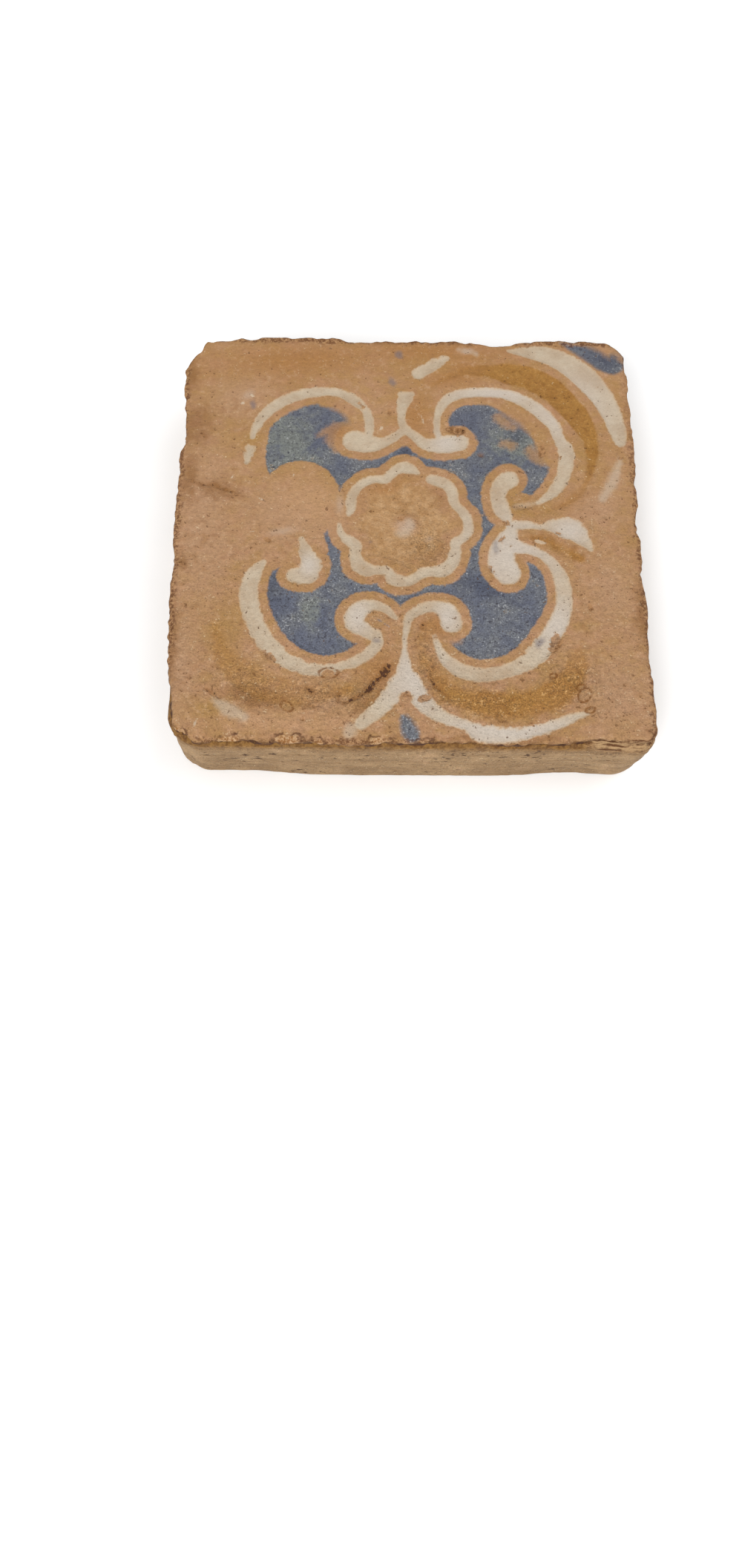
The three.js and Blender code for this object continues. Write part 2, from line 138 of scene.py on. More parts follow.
# The strokes of the white glaze: x, y, half width along the middle of each
WHITE = [
    [(-0.9, 35, 1.4), (-1.9, 40, 1.2), (-1.5, 44.5, 1.8), (-0.5, 47.6, 2.3)],
    [(-1.8, 48.8, 1.1), (1.2, 49, 1.1)],
    [(-0.9, 36, 1.5), (2.5, 33, 1.6), (6, 30.3, 2.2), (10, 30.2, 3), (15.8, 31.2, 3.3)],
    [(9.6, 33, 1), (9.3, 40, 1.1), (11.2, 45.4, 1.6), (15.5, 49, 1.8), (22, 50.2, 1.8), (30, 50, 1.9),
     (37, 47.2, 2.2), (42.3, 42.8, 2.4), (45.8, 38.4, 2.1), (47.6, 33, 1.9), (49.2, 29.3, 2.4),
     (49.2, 25, 2.4), (47.9, 19, 2.1), (45, 14, 1.8), (41, 10.2, 0.9)],
    [(-0.9, 36, 1.5), (-4, 32.8, 1.5), (-8, 30.6, 1.9), (-12, 30.2, 3.1), (-16.5, 31.3, 3.8)],
    [(-12.2, 32, 1.3), (-11.9, 36, 1.4), (-12.3, 40.5, 1.5), (-13.6, 43.6, 1.3), (-16.2, 46.2, 1.8),
     (-20.5, 48.9, 1.5), (-25, 49.7, 1.6), (-31.5, 49, 1.9), (-37.9, 46.5, 1.9), (-42.7, 43, 1.9),
     (-46.2, 38.3, 1.6), (-48.2, 32.6, 1)],
    [(-48.9, 28, 1.4), (-49.6, 23.5, 1.1)],
    [(31, 2.5, 0.8), (28.6, 6.5, 2.5), (27.5, 11.5, 2.4), (28.6, 15.5, 2.8), (31, 17.8, 3.1)],
    [(31, 1.5, 1.6), (36, 1.5, 1.5), (40.5, 0.9, 0.8), (44.5, 1.2, 2.5), (49, 0.4, 3.8),
     (52.2, -2.6, 2.5), (55, -6.6, 0.8)],
    [(31.5, 0.5, 1.6), (29.8, -3.5, 3), (28, -8, 3.9), (27.8, -12, 4.2), (29.4, -15.1, 3.9)],
    [(30, -5.5, 3), (36, -7, 1.7), (40.3, -9, 1.6), (43.4, -12.5, 1.8), (45.4, -17.5, 2.3),
     (45.9, -24, 2.4), (44.5, -30, 2.8), (41.4, -35.5, 2.9), (38, -40.5, 3.1), (34.5, -44, 2.8),
     (29, -47, 2.2), (21.6, -48.7, 2.1), (15.6, -47.8, 2.3), (10.8, -44.5, 2), (8.6, -41.2, 1.3),
     (7.2, -36.4, 0.6)],
    [(-1.2, -35, 0.9), (-0.3, -30.3, 1.3), (3, -27.7, 1.7), (7.3, -26.6, 1.9), (11.2, -28.4, 2.9),
     (12.2, -32, 3.2)],
    [(-4.2, -30.6, 0.7), (-7.5, -27.4, 1.3), (-11.5, -26.3, 1.8), (-15.2, -28.4, 2.9), (-16.3, -32, 3),
     (-13, -34.8, 2.2), (-9.9, -37, 1.7)],
    [(-9.9, -36, 1.6), (-9.6, -38.6, 1.7), (-12, -42, 1.7), (-16.5, -45.1, 1.6), (-20.5, -46.4, 1.4),
     (-26.6, -47.7, 1.9), (-33.5, -45.8, 2.2), (-38.5, -42.6, 2.6), (-43, -37, 2.8), (-46, -30.5, 2.7),
     (-47.6, -23.2, 2.8), (-46.4, -16.6, 2.3), (-43.5, -12.2, 0.9)],
    [(-32.4, -3.9, 0.6), (-31, -8.5, 2), (-29.3, -12.5, 3), (-30.6, -16.1, 3.4), (-34.3, -16.6, 2.4)],
    [(-1.2, -33, 1), (-1.6, -38, 0.7), (-1.7, -42, 1), (-1.6, -47, 2.2), (-1.4, -51.3, 3.4)],
    [(-3, -51.5, 3), (-7, -57.3, 2.6), (-11.5, -61.8, 2.2), (-14.4, -64.2, 1.9)],
    [(0, -51, 3), (3.5, -57.6, 2.8), (9.2, -62.1, 2), (15.5, -64.6, 1.7), (20.5, -67, 2.7),
     (27, -67.3, 2.3), (35.3, -66, 1.7), (42.5, -63.6, 1.6), (47.3, -61.4, 1.2), (50.6, -60.6, 0.4)],
    [(3.7, 57.1, 2.1), (8, 60.2, 2.1), (12.6, 63.3, 1.1)],
    [(33, 66.7, 0.5), (37, 66.4, 1.6), (42, 65.9, 2.9), (46.5, 64.6, 3.4), (51, 62.1, 3.8),
     (56.3, 57.3, 4.2), (60.8, 51.1, 3.9), (64.2, 43.8, 3.3), (66, 37, 2.8), (66.7, 32.4, 2)],
    [(32, 8, 0.3), (36, 8.4, 0.35), (40, 9.7, 0.6)],
]
# Strokes of white that are nearly rubbed off
FAINT_WHITE = [
    [(-56, -57.2, 1), (-52.5, -60, 2.2), (-47.5, -62.7, 1.2)],
    [(66.2, 26, 0.6), (65.3, 22.6, 1.1), (63.9, 19, 1.5), (61.8, 14.8, 1.7), (59.4, 11, 1.4)],
    [(16.8, 66.9, 0.4), (19.5, 66.4, 0.9), (22.6, 65, 0.6)],
    [(-16.4, -65.6, 1.6), (-17.4, -66.6, 2), (-17.9, -67.6, 1.6)],
    [(32.5, 8, 0.7), (36, 8.4, 0.8), (40.5, 9.8, 1)],
    [(-3.4, -1.6, 0.9), (-1.4, -1.5, 1.5), (0.2, 0.3, 1.4), (0.2, 2.2, 1.2)],
]
# The white bands that bound the blue
RIGHT_BAND, RIGHT_LOWER_BAND, LEFT_LOWER_BAND, LEFT_BAND = WHITE[3], WHITE[10], WHITE[13], WHITE[5]

# Strokes that are worn away and still bound the blue beside them
LOST = [
    [(-48, 32.8, 2), (-49, 25, 2.2), (-47.5, 18, 2), (-44, 12, 1.8), (-38, 8, 1)],
    [(-30, 3, 4), (-33, 12.5, 8.4), (-27.3, 9, 4.6)],
    [(-43.7, -11.8, 1.5), (-38, -8, 2.5), (-33, -4, 3)],
    [(-31.5, 0, 1.2), (-30, -4, 1.7), (-28.8, -8, 1.8)],
    [(27, 48.3, 0.2), (31, 46.8, 1), (36, 43.8, 1.8), (40.5, 39.8, 2.1), (43.5, 35, 2), (45, 30, 1.9),
     (46, 25, 0.7)],
    [(-30, 48.8, 0.6), (-24.1, 46.9, 0.5), (-20, 45.3, 0.5), (-17.9, 43.7, 0.5), (-15.5, 39.9, 0.5),
     (-15, 37.5, 0.5)],
]

# The strokes of the amber glaze
AMBER = [
    [(8, 52.5, 0.6), (14, 56.6, 1.3), (20.5, 58.8, 1.9), (27.4, 58.4, 2.8), (31.5, 58, 3.9),
     (37, 56.6, 4.7), (43.6, 53.2, 4.9), (48.8, 48.4, 4.4), (52.8, 43.2, 4.1), (55.6, 37.8, 3.6),
     (57.3, 32.5, 2.6), (57.5, 28, 2.1), (56.4, 21, 1.3), (53, 13.5, 1.3), (46.5, 8.5, 1.5),
     (38, 6.2, 1.4)],
    [(35.5, -3.6, 1.2), (41, -4.2, 2), (47, -6.8, 2.6), (51.5, -10, 1.4)],
    [(5, -31.5, 1.2), (4.2, -38, 2), (5.8, -46, 3), (10.2, -53, 4), (18, -57.2, 4.8), (28, -58.6, 4.9),
     (37, -57, 4.9), (44.3, -52.2, 4.6), (48.2, -46, 3.8), (48.8, -42, 2.6)],
    [(-57, -33, 1.6), (-54, -43, 3.2), (-46, -50.5, 5), (-37, -54.5, 4.8), (-29, -55.5, 3.4),
     (-18, -54, 2)],
]
# The strokes of blue outside the white bands
BLUE = [
    [(-1.9, -62.6, 1.2), (-0.9, -65.4, 2.3), (0.1, -67.6, 2.3)],
    [(50.8, 70.4, 0.9), (55.2, 68, 2.2), (59.6, 65.2, 2.9), (63.4, 62.2, 3.1), (66.4, 60.6, 2.6),
     (68, 63.5, 3)],
]

RIDGE_WIDTH = 2.8  # clay between a white cell and a blue one
AMBER_RIDGE_WIDTH = 1.9  # clay between a white cell and an amber one
HEART = (-0.7, 1.3)  # the middle of the rosette
HEART_BOSS_RADIUS = 3.2
PETALS_REACH = 17.0
BLUE_FROM_HEART = 19.0
# The rosette's scalloped ring, in two pieces: angle in degrees, distance from the heart, half width
RINGS = [
    [(78, 18.6, 0.5), (85, 19.8, 1.7), (91, 20.4, 2.1), (98, 19.7, 1.7), (105, 18.3, 1.6),
     (112, 17.1, 1.5), (119, 18.4, 1.3), (127, 19.4, 1.5), (137, 19.7, 1.4), (147, 19.4, 1.5),
     (156, 18.4, 1.6), (163, 17.6, 1.4), (169, 17.9, 0.7)],
    [(180, 20.3, 0.5), (187, 20.2, 0.95), (194, 19.5, 1.3), (200, 18, 1.8), (206, 17.2, 1.9),
     (212, 18.3, 1.5), (219, 19.5, 2), (226, 20.2, 2.4), (233, 19.8, 2.2), (239, 18.7, 1.5),
     (246, 17.4, 1.5), (252, 17.5, 1.5), (257, 19.2, 2), (263, 19.6, 2), (271, 19.5, 1.6),
     (278, 18.4, 1.5), (286, 17.4, 1.7), (294, 17.6, 1.6), (302, 18.9, 2), (310, 19.1, 2.1),
     (318, 18.5, 2), (325, 17.6, 1.9), (331, 16.9, 1.6), (337, 16.1, 1.7), (344, 17.4, 1.4),
     (352, 18.6, 1.5), (360, 18.7, 1.5), (368, 18.5, 1.7), (376, 17.6, 1.5), (384, 16.8, 1.4),
     (392, 17, 1.6), (400, 18.4, 1.8), (408, 19, 1.8), (416, 18.6, 2), (424, 18, 1.7)],
]
# Where the ring is worn through: the same numbers
RING_WORN_THROUGH = [
    [(66, 18.2, 1.4), (72, 17.8, 1.4), (77, 18.2, 1)],
    [(170, 18, 1), (175, 18.8, 1), (180, 20, 0.8)],
]

# The four fields of blue lie inside the white bands, closed through the roots of the hooks beside them
NORTH, EAST, SOUTH, WEST = (-0.9, 34), (31, 1.5), (-1.3, -31), (-31, 0)
QUARTERS = [
    [NORTH, *RIGHT_BAND, EAST, HEART],
    [EAST, *RIGHT_LOWER_BAND, SOUTH, HEART],
    [SOUTH, *LEFT_LOWER_BAND, WEST, HEART],
    [NORTH, *LEFT_BAND, *LOST[0], WEST, HEART],
]

# Places where a glaze is gone: x, y, radius
WORN = [(-30, 7.5, 9.4), (35, 9, 4), (-14, 43.9, 0.6), (7.5, -36.9, 0.5), (4.5, -33, 2.4),
        (-1.5, -56.3, 1.9), (-23.7, -49.2, 1.9)]

# How deep the cells and the damage lie, and the wear along the face's edge
CELL_DEPTH = 0.42
BROKEN_DEPTH = 0.45
SCAR_DEPTH = 0.7
LOOP_DEPTH = 0.15
EDGE_WEAR = 0.22
# The unevenness of the face: size of its hills, half their height
FACE_HILLS = [(34, 0.10), (9, 0.05), (2.6, 0.03), (1.3, 0.015)]
RELIEF_FADES = 3.2  # the depth under the face by which its relief has faded
GLAZE_ENDS = 1.2  # how far down the side the glaze runs
BACK_HOLLOWS = 0.12
# Where the layers of the right front corner have come off: from and to, in X and in -Y
SHELLED_X = (48, 54)
SHELLED_Y = (64, 66.5)

# Broken places, down to rough brown clay: x, y, half width along the middle
BROKEN = [
    [(12.6, 36.3, 0.9), (14.6, 35.7, 1.8), (16.6, 35.3, 1.5), (17.3, 35.6, 0.8)],
    [(43, -35.9, 0.9), (42.6, -38, 1.8), (41.7, -40.3, 1.2)],
    [(42, 30.2, 0.6), (41.8, 28.3, 1.1), (41.4, 26.6, 0.6)],
    [(2.4, -56.4, 0.7), (4, -55.8, 1.2), (5.2, -55.9, 0.6)],
    [(24.3, -12.8, 0.4), (24.6, -14.2, 0.8), (24.4, -15.4, 0.4)],
    [(27.6, -3.6, 0.4), (28.6, -2.8, 0.6)],
    [(66.2, 26.2, 0.6), (67.4, 26.2, 0.5)],
    [(53.4, -26.2, 0.6), (53.9, -26.9, 0.9)],
    [(-42.9, -4.6, 0.6), (-42, -5, 0.8)],
    [(-57, 15.5, 0.3), (-55.4, 15.4, 0.6)],
    [(-55, 12.6, 0.4), (-53.8, 12.3, 0.6)],
    [(28.8, 1.6, 0.5), (30, 2.4, 0.8)],
    [(-5.9, 43, 0.4), (-5.7, 41.4, 0.6)],
    [(-15, 45.7, 0.3), (-13.6, 44.3, 0.5)],
    [(33.2, -63.9, 0.4), (34.4, -63.6, 0.5)],
    [(44.6, -1, 0.4), (45.6, -1.1, 0.4)],
    [(46.7, 27.2, 0.4), (47.4, 26.2, 0.5)],
    [(49.2, -29.6, 0.3), (50, -30, 0.4)],
    [(-2.2, -55.4, 0.5), (-1, -54.8, 0.7), (0, -55.6, 0.4)],
    [(-42.8, -41.7, 0.5), (-40.6, -43.6, 1.1), (-40, -44.6, 0.6)],
    [(9.3, -35.9, 0.3), (10, -36.6, 0.4)],
    [(-31.8, -62.8, 0.3), (-30.8, -63.2, 0.5)],
    [(-28.6, -63, 0.3), (-27.8, -63.3, 0.5)],
    [(-3, 3.4, 0.4), (-2.2, 3.2, 0.5)],
]
# Loops are the thin brown outlines of blisters: x, y, half length, half width, turn in degrees
LOOPS = [(50, -54.8, 2.4, 1.7, 60), (51.4, -59.4, 1.4, 0.9, 20), (41.2, -48.8, 1.1, 0.8, 30),
         (-23.7, -48.5, 2.8, 1.7, 0), (-35.5, -59, 2, 1.4, -40), (49, -52.2, 1.2, 0.8, 20),
         (-66, -68.2, 1.6, 0.9, 0)]
# Scars are dark crevices: x, y, half width along the middle
SCARS = [
    [(-6.6, -46.2, 0.9), (-7.4, -47.8, 1.3), (-9, -49.8, 0.7), (-10.6, -51.4, 0.8), (-12.2, -53.4, 1.1),
     (-13.4, -54.3, 0.6), (-15, -55.6, 0.6), (-17.4, -57, 0.6), (-19.4, -57.8, 0.3)],
    [(-21, -54.4, 0.3), (-20.6, -56, 0.4), (-20.9, -57.6, 0.2)],
    [(-29.6, -53, 0.2), (-29, -54, 0.5), (-28.6, -55, 0.2)],
    [(5.5, -50, 0.25), (7, -52, 0.5), (9, -54.2, 0.35), (11.5, -56.5, 0.2)],
    [(3.6, -32.2, 0.1), (3.1, -33.6, 0.15)],
    [(-59, -53.6, 0.1), (-56.5, -55.6, 0.2), (-54.5, -56.8, 0.1)],
    [(22.6, 26.9, 0.5), (23, 26.7, 0.4)],
    [(17.6, 37.4, 0.2), (17.5, 35, 0.3)],
    [(-66, 15.5, 0.1), (-60, 14.6, 0.25), (-54, 12.2, 0.2)],
    [(31.5, 8, 0.1), (35.5, 7.6, 0.2), (39, 8.4, 0.1)],
]
# Flecks are small pale marks, and the round one at (13.2, 21.1) is a painted glint: the same numbers as
# the loops
FLECKS_AND_PAINTED_GLINT = [(4.7, 40, 2.2, 0.35, 100), (-8.2, 36.1, 0.9, 0.6, 70), (-45.2, 10, 1.3, 0.35, -35),
          (-48.8, 47.8, 1.1, 0.5, -50), (-51.8, 45, 0.7, 0.5, 0), (-61.3, -64.6, 1.4, 0.4, 70),
          (-54, 17.6, 0.9, 0.4, 60), (-47.3, -1.8, 1.1, 0.35, 10), (39.5, -4.3, 2, 0.7, -15),
          (13.2, 21.1, 0.35, 0.35, 0), (42.9, -34.3, 0.4, 0.4, 0), (-35.2, 18.6, 0.8, 0.3, 90)]
# Hazes are faint pinkish films of white
HAZES = [(19.8, 66.2, 3.6, 1.2, 12), (-50.3, 48, 2.6, 1.8, 40), (-1.3, 0.8, 3, 2.2, 0),
         (-21, 8, 4.2, 1.6, 95), (-38, -1.5, 5, 1.6, 10), (6, -3.5, 1.6, 1.2, 30)]
# Smudges are faint drops of blue
SMUDGES = [(-2.3, 64.4, 1.5, 1.6, 0), (-4.5, 53.6, 1.2, 2.2, 20), (-48.4, 44.3, 1.1, 1.8, 15),
           (38, -38, 2, 1.3, 60), (-9.9, -38, 1.2, 0.9, 0), (26.2, -6, 1, 2.6, 0),
           (-11.6, -4.8, 0.5, 0.4, 0)]
# Bald places in the blue, down to tan clay: x, y, half width along the middle
BALD = [
    [(-18.6, 37.6, 0.9), (-22.5, 35.6, 2.2), (-27.6, 33.7, 0.4)],
    [(-23.6, 34, 1.8), (-23.9, 31.6, 1.6), (-22.2, 28.4, 0.9)],
    [(29, 40.5, 1.6), (31.5, 38.5, 1.4), (33.5, 37.3, 0.7)],
    [(29.7, 31.5, 0.9), (32.5, 30.6, 1.3)],
    [(38, 29.2, 1.2), (39.5, 27, 1.9), (41.5, 24.8, 1.6)],
    [(63.5, 69.4, 1.2), (67.4, 67.4, 1.2), (69.4, 64, 0.8)],
    [(11.3, -38.7, 0.8), (13.6, -37.6, 0.8)],
]
# Crumbs of paler clay on the broken front lip: the same numbers as the loops
CRUMBS = [(-51.4, -69.2, 3, 1, 0), (-35, -69.2, 3.4, 1.3, 0), (-26.8, -69.8, 1.4, 0.8, 0),
          (-66, -67, 2, 1.3, -40), (-9, -69.4, 2.4, 0.8, 0), (4, -69.6, 1.6, 0.7, 0)]
# Broad stains, soft all round: the same numbers
STAINS = {
    "pinkish": [(-37, 4, 17, 8, -12), (-62, 2, 8, 30, 0), (-52, 47, 9, 7, 0), (-24, -57, 6, 4, 0),
        (60, -55, 9, 12, 0), (-27, -56, 5, 4, 0), (57, 8, 8, 8, 0), (-66, -45, 5, 18, 0),
        (60, -20, 7, 14, 0), (-2, 1, 7, 6, 0)],
    "orange": [(10, 66, 26, 6, 0), (-35, 62, 30, 7, 4), (15, 56, 12, 4, 10), (2, 41, 6, 9, 0),
        (18, 60, 8, 3, 5), (54, 12, 7, 4, 30), (-6, 12, 7, 5, 30), (-33, -30, 3, 3, 0),
        (8, -33, 5, 4, 0), (-9, -48, 6, 5, 50), (-22.5, 35, 4, 3.5, 20)],
    "olive": [(-54, -33, 5, 8, 15), (-15.6, -52.6, 3.6, 2.6, 50), (-48, 32, 4, 3, 0),
        (-57, -60, 9, 3, 0), (34, 8, 7, 3, 0), (-40, 20, 6, 3, 0), (57, 26, 4, 8, 0), (8, 61, 6, 3, 0)],
    "darkened": [(-67, 18, 3, 12, 0), (-66, 36, 7, 10, 0), (-67.5, -12.5, 2, 3, 0),
        (-69, -40, 2, 14, 0), (68.5, -28, 2, 13, 0), (0, 70, 30, 1.5, 0), (-10, -57, 7, 3, 30),
        (32, 1, 2, 1.5, 0), (5, 8, 8, 5, 30), (-58, 13, 9, 4, -15), (-45, -56, 12, 4, -10),
        (6, -7, 6, 5, 0), (25, -68.5, 20, 1.2, 0), (-68, 55, 2.5, 8, 0)],
    "lightened": [(-36, -64, 20, 3, 0), (-30, 10, 10, 8, 0), (-2, 1, 3, 2, 0)],
    # Where the white is least stained
    "clean_white": [(50, 45, 12, 12, 0), (30, -9, 13, 14, 0), (49, 0, 6, 5, 0), (28, 50, 14, 5, 0),
        (43, -32, 7, 9, 0), (1, -50, 9, 12, 0), (28, -66, 24, 5, 0), (12, 31, 5, 5, 0),
        (-15.5, -30, 4, 6, 0), (11, -30, 4, 6, 0), (-30, -13, 3, 4, 0)],
    # Where the blue is deepest, and where it turns green
    "deep_blue": [(64, 64.5, 6, 4, -40), (34.2, 34, 2.8, 2.8, 0), (-1, 27.6, 3, 2.2, 0),
        (-43, -20, 4, 8, 20), (22, -20, 10, 3, -20)],
    "greened_blue": [(-36, 31, 10, 11, 30), (33, 30, 9, 8, 0), (-29, -29, 4, 5, 0)],
    # Where the amber is thin, and where its edge is crisp
    "thin_amber": [(14, 56.5, 10, 5, 25), (-40, -50, 30, 18, -30), (5, -38, 5, 10, 0),
        (38, 6, 16, 6, 0), (53, 14, 6, 8, 0), (46, -40, 8, 6, 0)],
    "crisp_amber": [(46, 47, 26, 22, -40)],
    # Where the glaze's edges are chewed, and where they are blurred
    "frayed": [(-40, -42, 16, 8, -45), (-20, -49, 12, 5, 0), (38, -43, 14, 7, 40), (-3, -53, 9, 7, 0),
        (48, 30, 6, 8, 0), (-30, -13, 7, 9, 0), (49, -1, 8, 6, 0), (-47, 28, 5, 8, 0),
        (16, 34, 5, 4, 0), (30, -67, 20, 4, 0), (11, 62, 6, 4, 35), (-33, -44, 12, 6, -20)],
    "blurred": [(-0.5, -65.5, 3, 4, 0), (60, 66, 12, 6, -35), (34, 38, 8, 6, 0), (40, 27, 5, 5, 0),
        (-22, 38, 7, 7, 0)],
    # Where the face is rough, and where the lip is smooth
    "roughened": [(-26, -56, 10, 5, -10), (-14, -55, 7, 4, 40), (5, -46, 3, 10, 0), (46, -51, 8, 6, 0),
        (-45, -53, 9, 5, -20), (20, -57, 16, 4, 0), (4.5, -6, 6, 7, 0)],
    "smooth_lip": [(28, -69.5, 24, 4, 0), (69.5, 50, 4, 20, 0)],
}

# Camera: a phone's main camera, held over the front of the tile
CAMERA_PLACE = (-18.437, -195.126, 334.608)
CAMERA_DOWN = 1.21941  # in radians, like the turn and the roll
CAMERA_TURN = -0.061620
CAMERA_ROLL = 0.0649167
LENS = 27.04
FILM = 36.0

# Lights: place in metres, size in metres, power in watts
KEY_LIGHT = ((-0.5, -1.1, 1.45), 1.2, 27)
FILL_LIGHT = ((0.9, 0.4, 1.4), 1.4, 9)
SKY_LIGHT = 0.55
FLOOR_SIZE = 8.0
# How bright these lights show a white surface, the veil of the clay's sheen, and the darkest paint
STUDIO_LIGHT = 1.29
SHEEN = 0.02
DARKEST = 0.004

# Colours as the screen should show them: red, green and blue, 0 to 255
COLOURS = {
    "tan clay": (177, 136, 94), "pink clay": (186, 145, 109), "yellow clay": (180, 141, 88),
    "rosy clay": (190, 144, 114), "orange clay": (174, 126, 79), "pinkish clay": (186, 147, 115),
    "olive clay": (172, 134, 78), "brown mottle": (160, 114, 78), "pale mottle": (202, 167, 136),
    "light clay": (198, 156, 118), "dark clay": (142, 100, 64), "side brown": (162, 131, 97),
    "side tan": (184, 153, 116), "side layer": (138, 104, 68), "side patch": (206, 166, 132),
    "cream white": (204, 187, 163), "old white": (188, 166, 140), "clean white": (209, 198, 186),
    "white edge": (204, 178, 146), "slate blue": (94, 102, 118), "grey blue": (112, 117, 122),
    "cloudy blue": (90, 99, 117), "green blue": (124, 130, 124), "deep blue": (68, 78, 96),
    # The pale blue and amber specks are painted glints: highlights put in as colour
    "blue painted glint": (170, 172, 174), "blue pit": (58, 62, 80), "amber": (171, 125, 67),
    "brown amber": (159, 112, 58), "amber pit": (132, 90, 48), "amber painted glint": (204, 162, 108),
    "petal tan": (199, 160, 118), "petal brown": (178, 137, 94), "faint white": (205, 187, 165),
    "haze": (200, 174, 152), "smudge": (122, 116, 122), "fleck_and_painted_glint": (216, 196, 170),
    "chip brown": (118, 78, 44), "chip tan": (192, 146, 104), "loop": (128, 82, 42),
    "scar bed": (146, 100, 56), "scar": (66, 42, 14), "pit": (108, 70, 40), "pepper": (112, 90, 70),
    "speck": (224, 198, 162), "rim dirt": (102, 64, 22), "rim crumb": (190, 148, 106),
    # The groove and crevice paints are painted shade under the lip
    "lip dirt": (118, 80, 30), "lip crumb": (190, 150, 106), "groove shade brown": (112, 76, 22),
    "groove shade tan": (158, 116, 60), "crevice_shade": (70, 44, 8), "crumb edge": (88, 56, 20),
    "crumb brown": (156, 108, 64), "crumb tan": (214, 176, 136), "sheet brown": (96, 62, 28),
    "sheet tan": (198, 162, 120), "hole": (76, 50, 22), "grit": (218, 188, 146),
}

# The hills come from a lattice of random values
LATTICE = 64
LATTICE_START = 1000.0
HILL_HEIGHT = 1.5

FAR_OUTSIDE = -50.0  # the distance that a place has before any stroke is near
TOUCH = 0.01  # places this close to a side or to the face are on it


# Shapes

def smoothed(points, steps=5):
    """A centripetal curve through the points."""
    p = np.array(points, float)
    p = np.vstack([2 * p[0] - p[1], p, 2 * p[-1] - p[-2]])
    line = [p[1]]
    for before, start, end, after in zip(p, p[1:], p[2:], p[3:]):
        pairs = ((before, start), (start, end), (end, after))
        gap_in, gap, gap_out = (max(float(np.linalg.norm(b - a)) ** 0.5, 1e-4) for a, b in pairs)
        straight = (end - start) / gap
        leaving = (start - before) / gap_in - (end - before) / (gap_in + gap) + straight
        coming = straight - (after - start) / (gap + gap_out) + (after - end) / gap_out
        for t in np.linspace(0, 1, steps + 1)[1:]:
            line.append(start * (2 * t**3 - 3 * t**2 + 1) + leaving * gap * (t**3 - 2 * t**2 + t)
                        + end * (3 * t**2 - 2 * t**3) + coming * gap * (t**3 - t**2))
    return np.array(line)


def inside_strokes(strokes, x, y):
    """Distance in from the edge of the nearest stroke, negative outside."""
    nearest = np.full(x.shape, FAR_OUTSIDE)
    for stroke in strokes:
        line = smoothed(stroke)
        for a, b in zip(line, line[1:]):
            run = b - a
            along = ((x - a[0]) * run[0] + (y - a[1]) * run[1]) / (run[0] ** 2 + run[1] ** 2)
            along = np.clip(along, 0, 1)
            width = a[2] + run[2] * along
            away = np.hypot(x - a[0] - run[0] * along, y - a[1] - run[1] * along)
            nearest = np.maximum(nearest, width - away)
    return nearest


def inside_polygon(corners, x, y):
    """Whether each place lies inside the polygon."""
    inside = np.zeros(x.shape, bool)
    for (x1, y1, *_), (x2, y2, *_) in zip(corners, corners[1:] + corners[:1]):
        if y1 == y2:
            continue
        crosses = (y1 > y) != (y2 > y)
        inside ^= crosses & (x < x1 + (x2 - x1) * (y - y1) / (y2 - y1))
    return inside


def in_oval(spot, x, y):
    """Places along and across an oval spot, in its half lengths and half widths."""
    spot_x, spot_y, length, width, turn = spot
    c, s = math.cos(math.radians(turn)), math.sin(math.radians(turn))
    along = ((x - spot_x) * c + (y - spot_y) * s) / length
    across = ((y - spot_y) * c - (x - spot_x) * s) / width
    return along, across


def inside_spots(spots, x, y):
    """Distance in from the edge of the nearest oval spot, negative outside."""
    nearest = np.full(x.shape, FAR_OUTSIDE)
    for spot in spots:
        nearest = np.maximum(nearest, (1 - np.hypot(*in_oval(spot, x, y))) * min(spot[2:4]))
    return nearest


def on_loops(loops, x, y, line=0.22):
    """Distance in from the sides of the nearest oval line."""
    nearest = np.full(x.shape, FAR_OUTSIDE)
    for loop in loops:
        nearest = np.maximum(nearest, line - np.abs(inside_spots([loop], x, y)))
    return nearest


def round_heart(turns):
    """Strokes given by their angles and distances from the heart."""
    strokes = []
    for turn in turns:
        strokes.append([])
        for angle, far, width in turn:
            a = math.radians(angle)
            strokes[-1].append((HEART[0] + far * math.cos(a), HEART[1] + far * math.sin(a), width))
    return strokes


def from_heart(x, y):
    return np.hypot(x - HEART[0], y - HEART[1])


def white_at(x, y):
    """Distance in from the edge of the white glaze, negative outside; the next ones alike."""
    return np.minimum(inside_strokes(WHITE + round_heart(RINGS), x, y), -worn_at(x, y))


def blue_at(x, y):
    bounds = WHITE + LOST + round_heart(RINGS + RING_WORN_THROUGH)
    field = np.minimum(-RIDGE_WIDTH - inside_strokes(bounds, x, y), from_heart(x, y) - BLUE_FROM_HEART)
    field = np.minimum(field, -worn_at(x, y))
    held = np.zeros(x.shape, bool)
    for quarter in QUARTERS:
        held |= inside_polygon(quarter, x, y)
    return np.maximum(np.where(held, field, -RIDGE_WIDTH), inside_strokes(BLUE, x, y))


def rosette_at(x, y):
    """The rosette's inside, between its boss and its ring."""
    ring = inside_strokes(round_heart(RINGS + RING_WORN_THROUGH), x, y)
    petals = np.minimum(-RIDGE_WIDTH - ring, PETALS_REACH - from_heart(x, y))
    return np.minimum(petals, from_heart(x, y) - HEART_BOSS_RADIUS)


def amber_at(x, y):
    ridge = -AMBER_RIDGE_WIDTH - inside_strokes(WHITE, x, y)
    return np.minimum(inside_strokes(AMBER, x, y), ridge * 0.6)


def worn_at(x, y):
    return np.max([radius - np.hypot(x - wx, y - wy) for wx, wy, radius in WORN], axis=0)


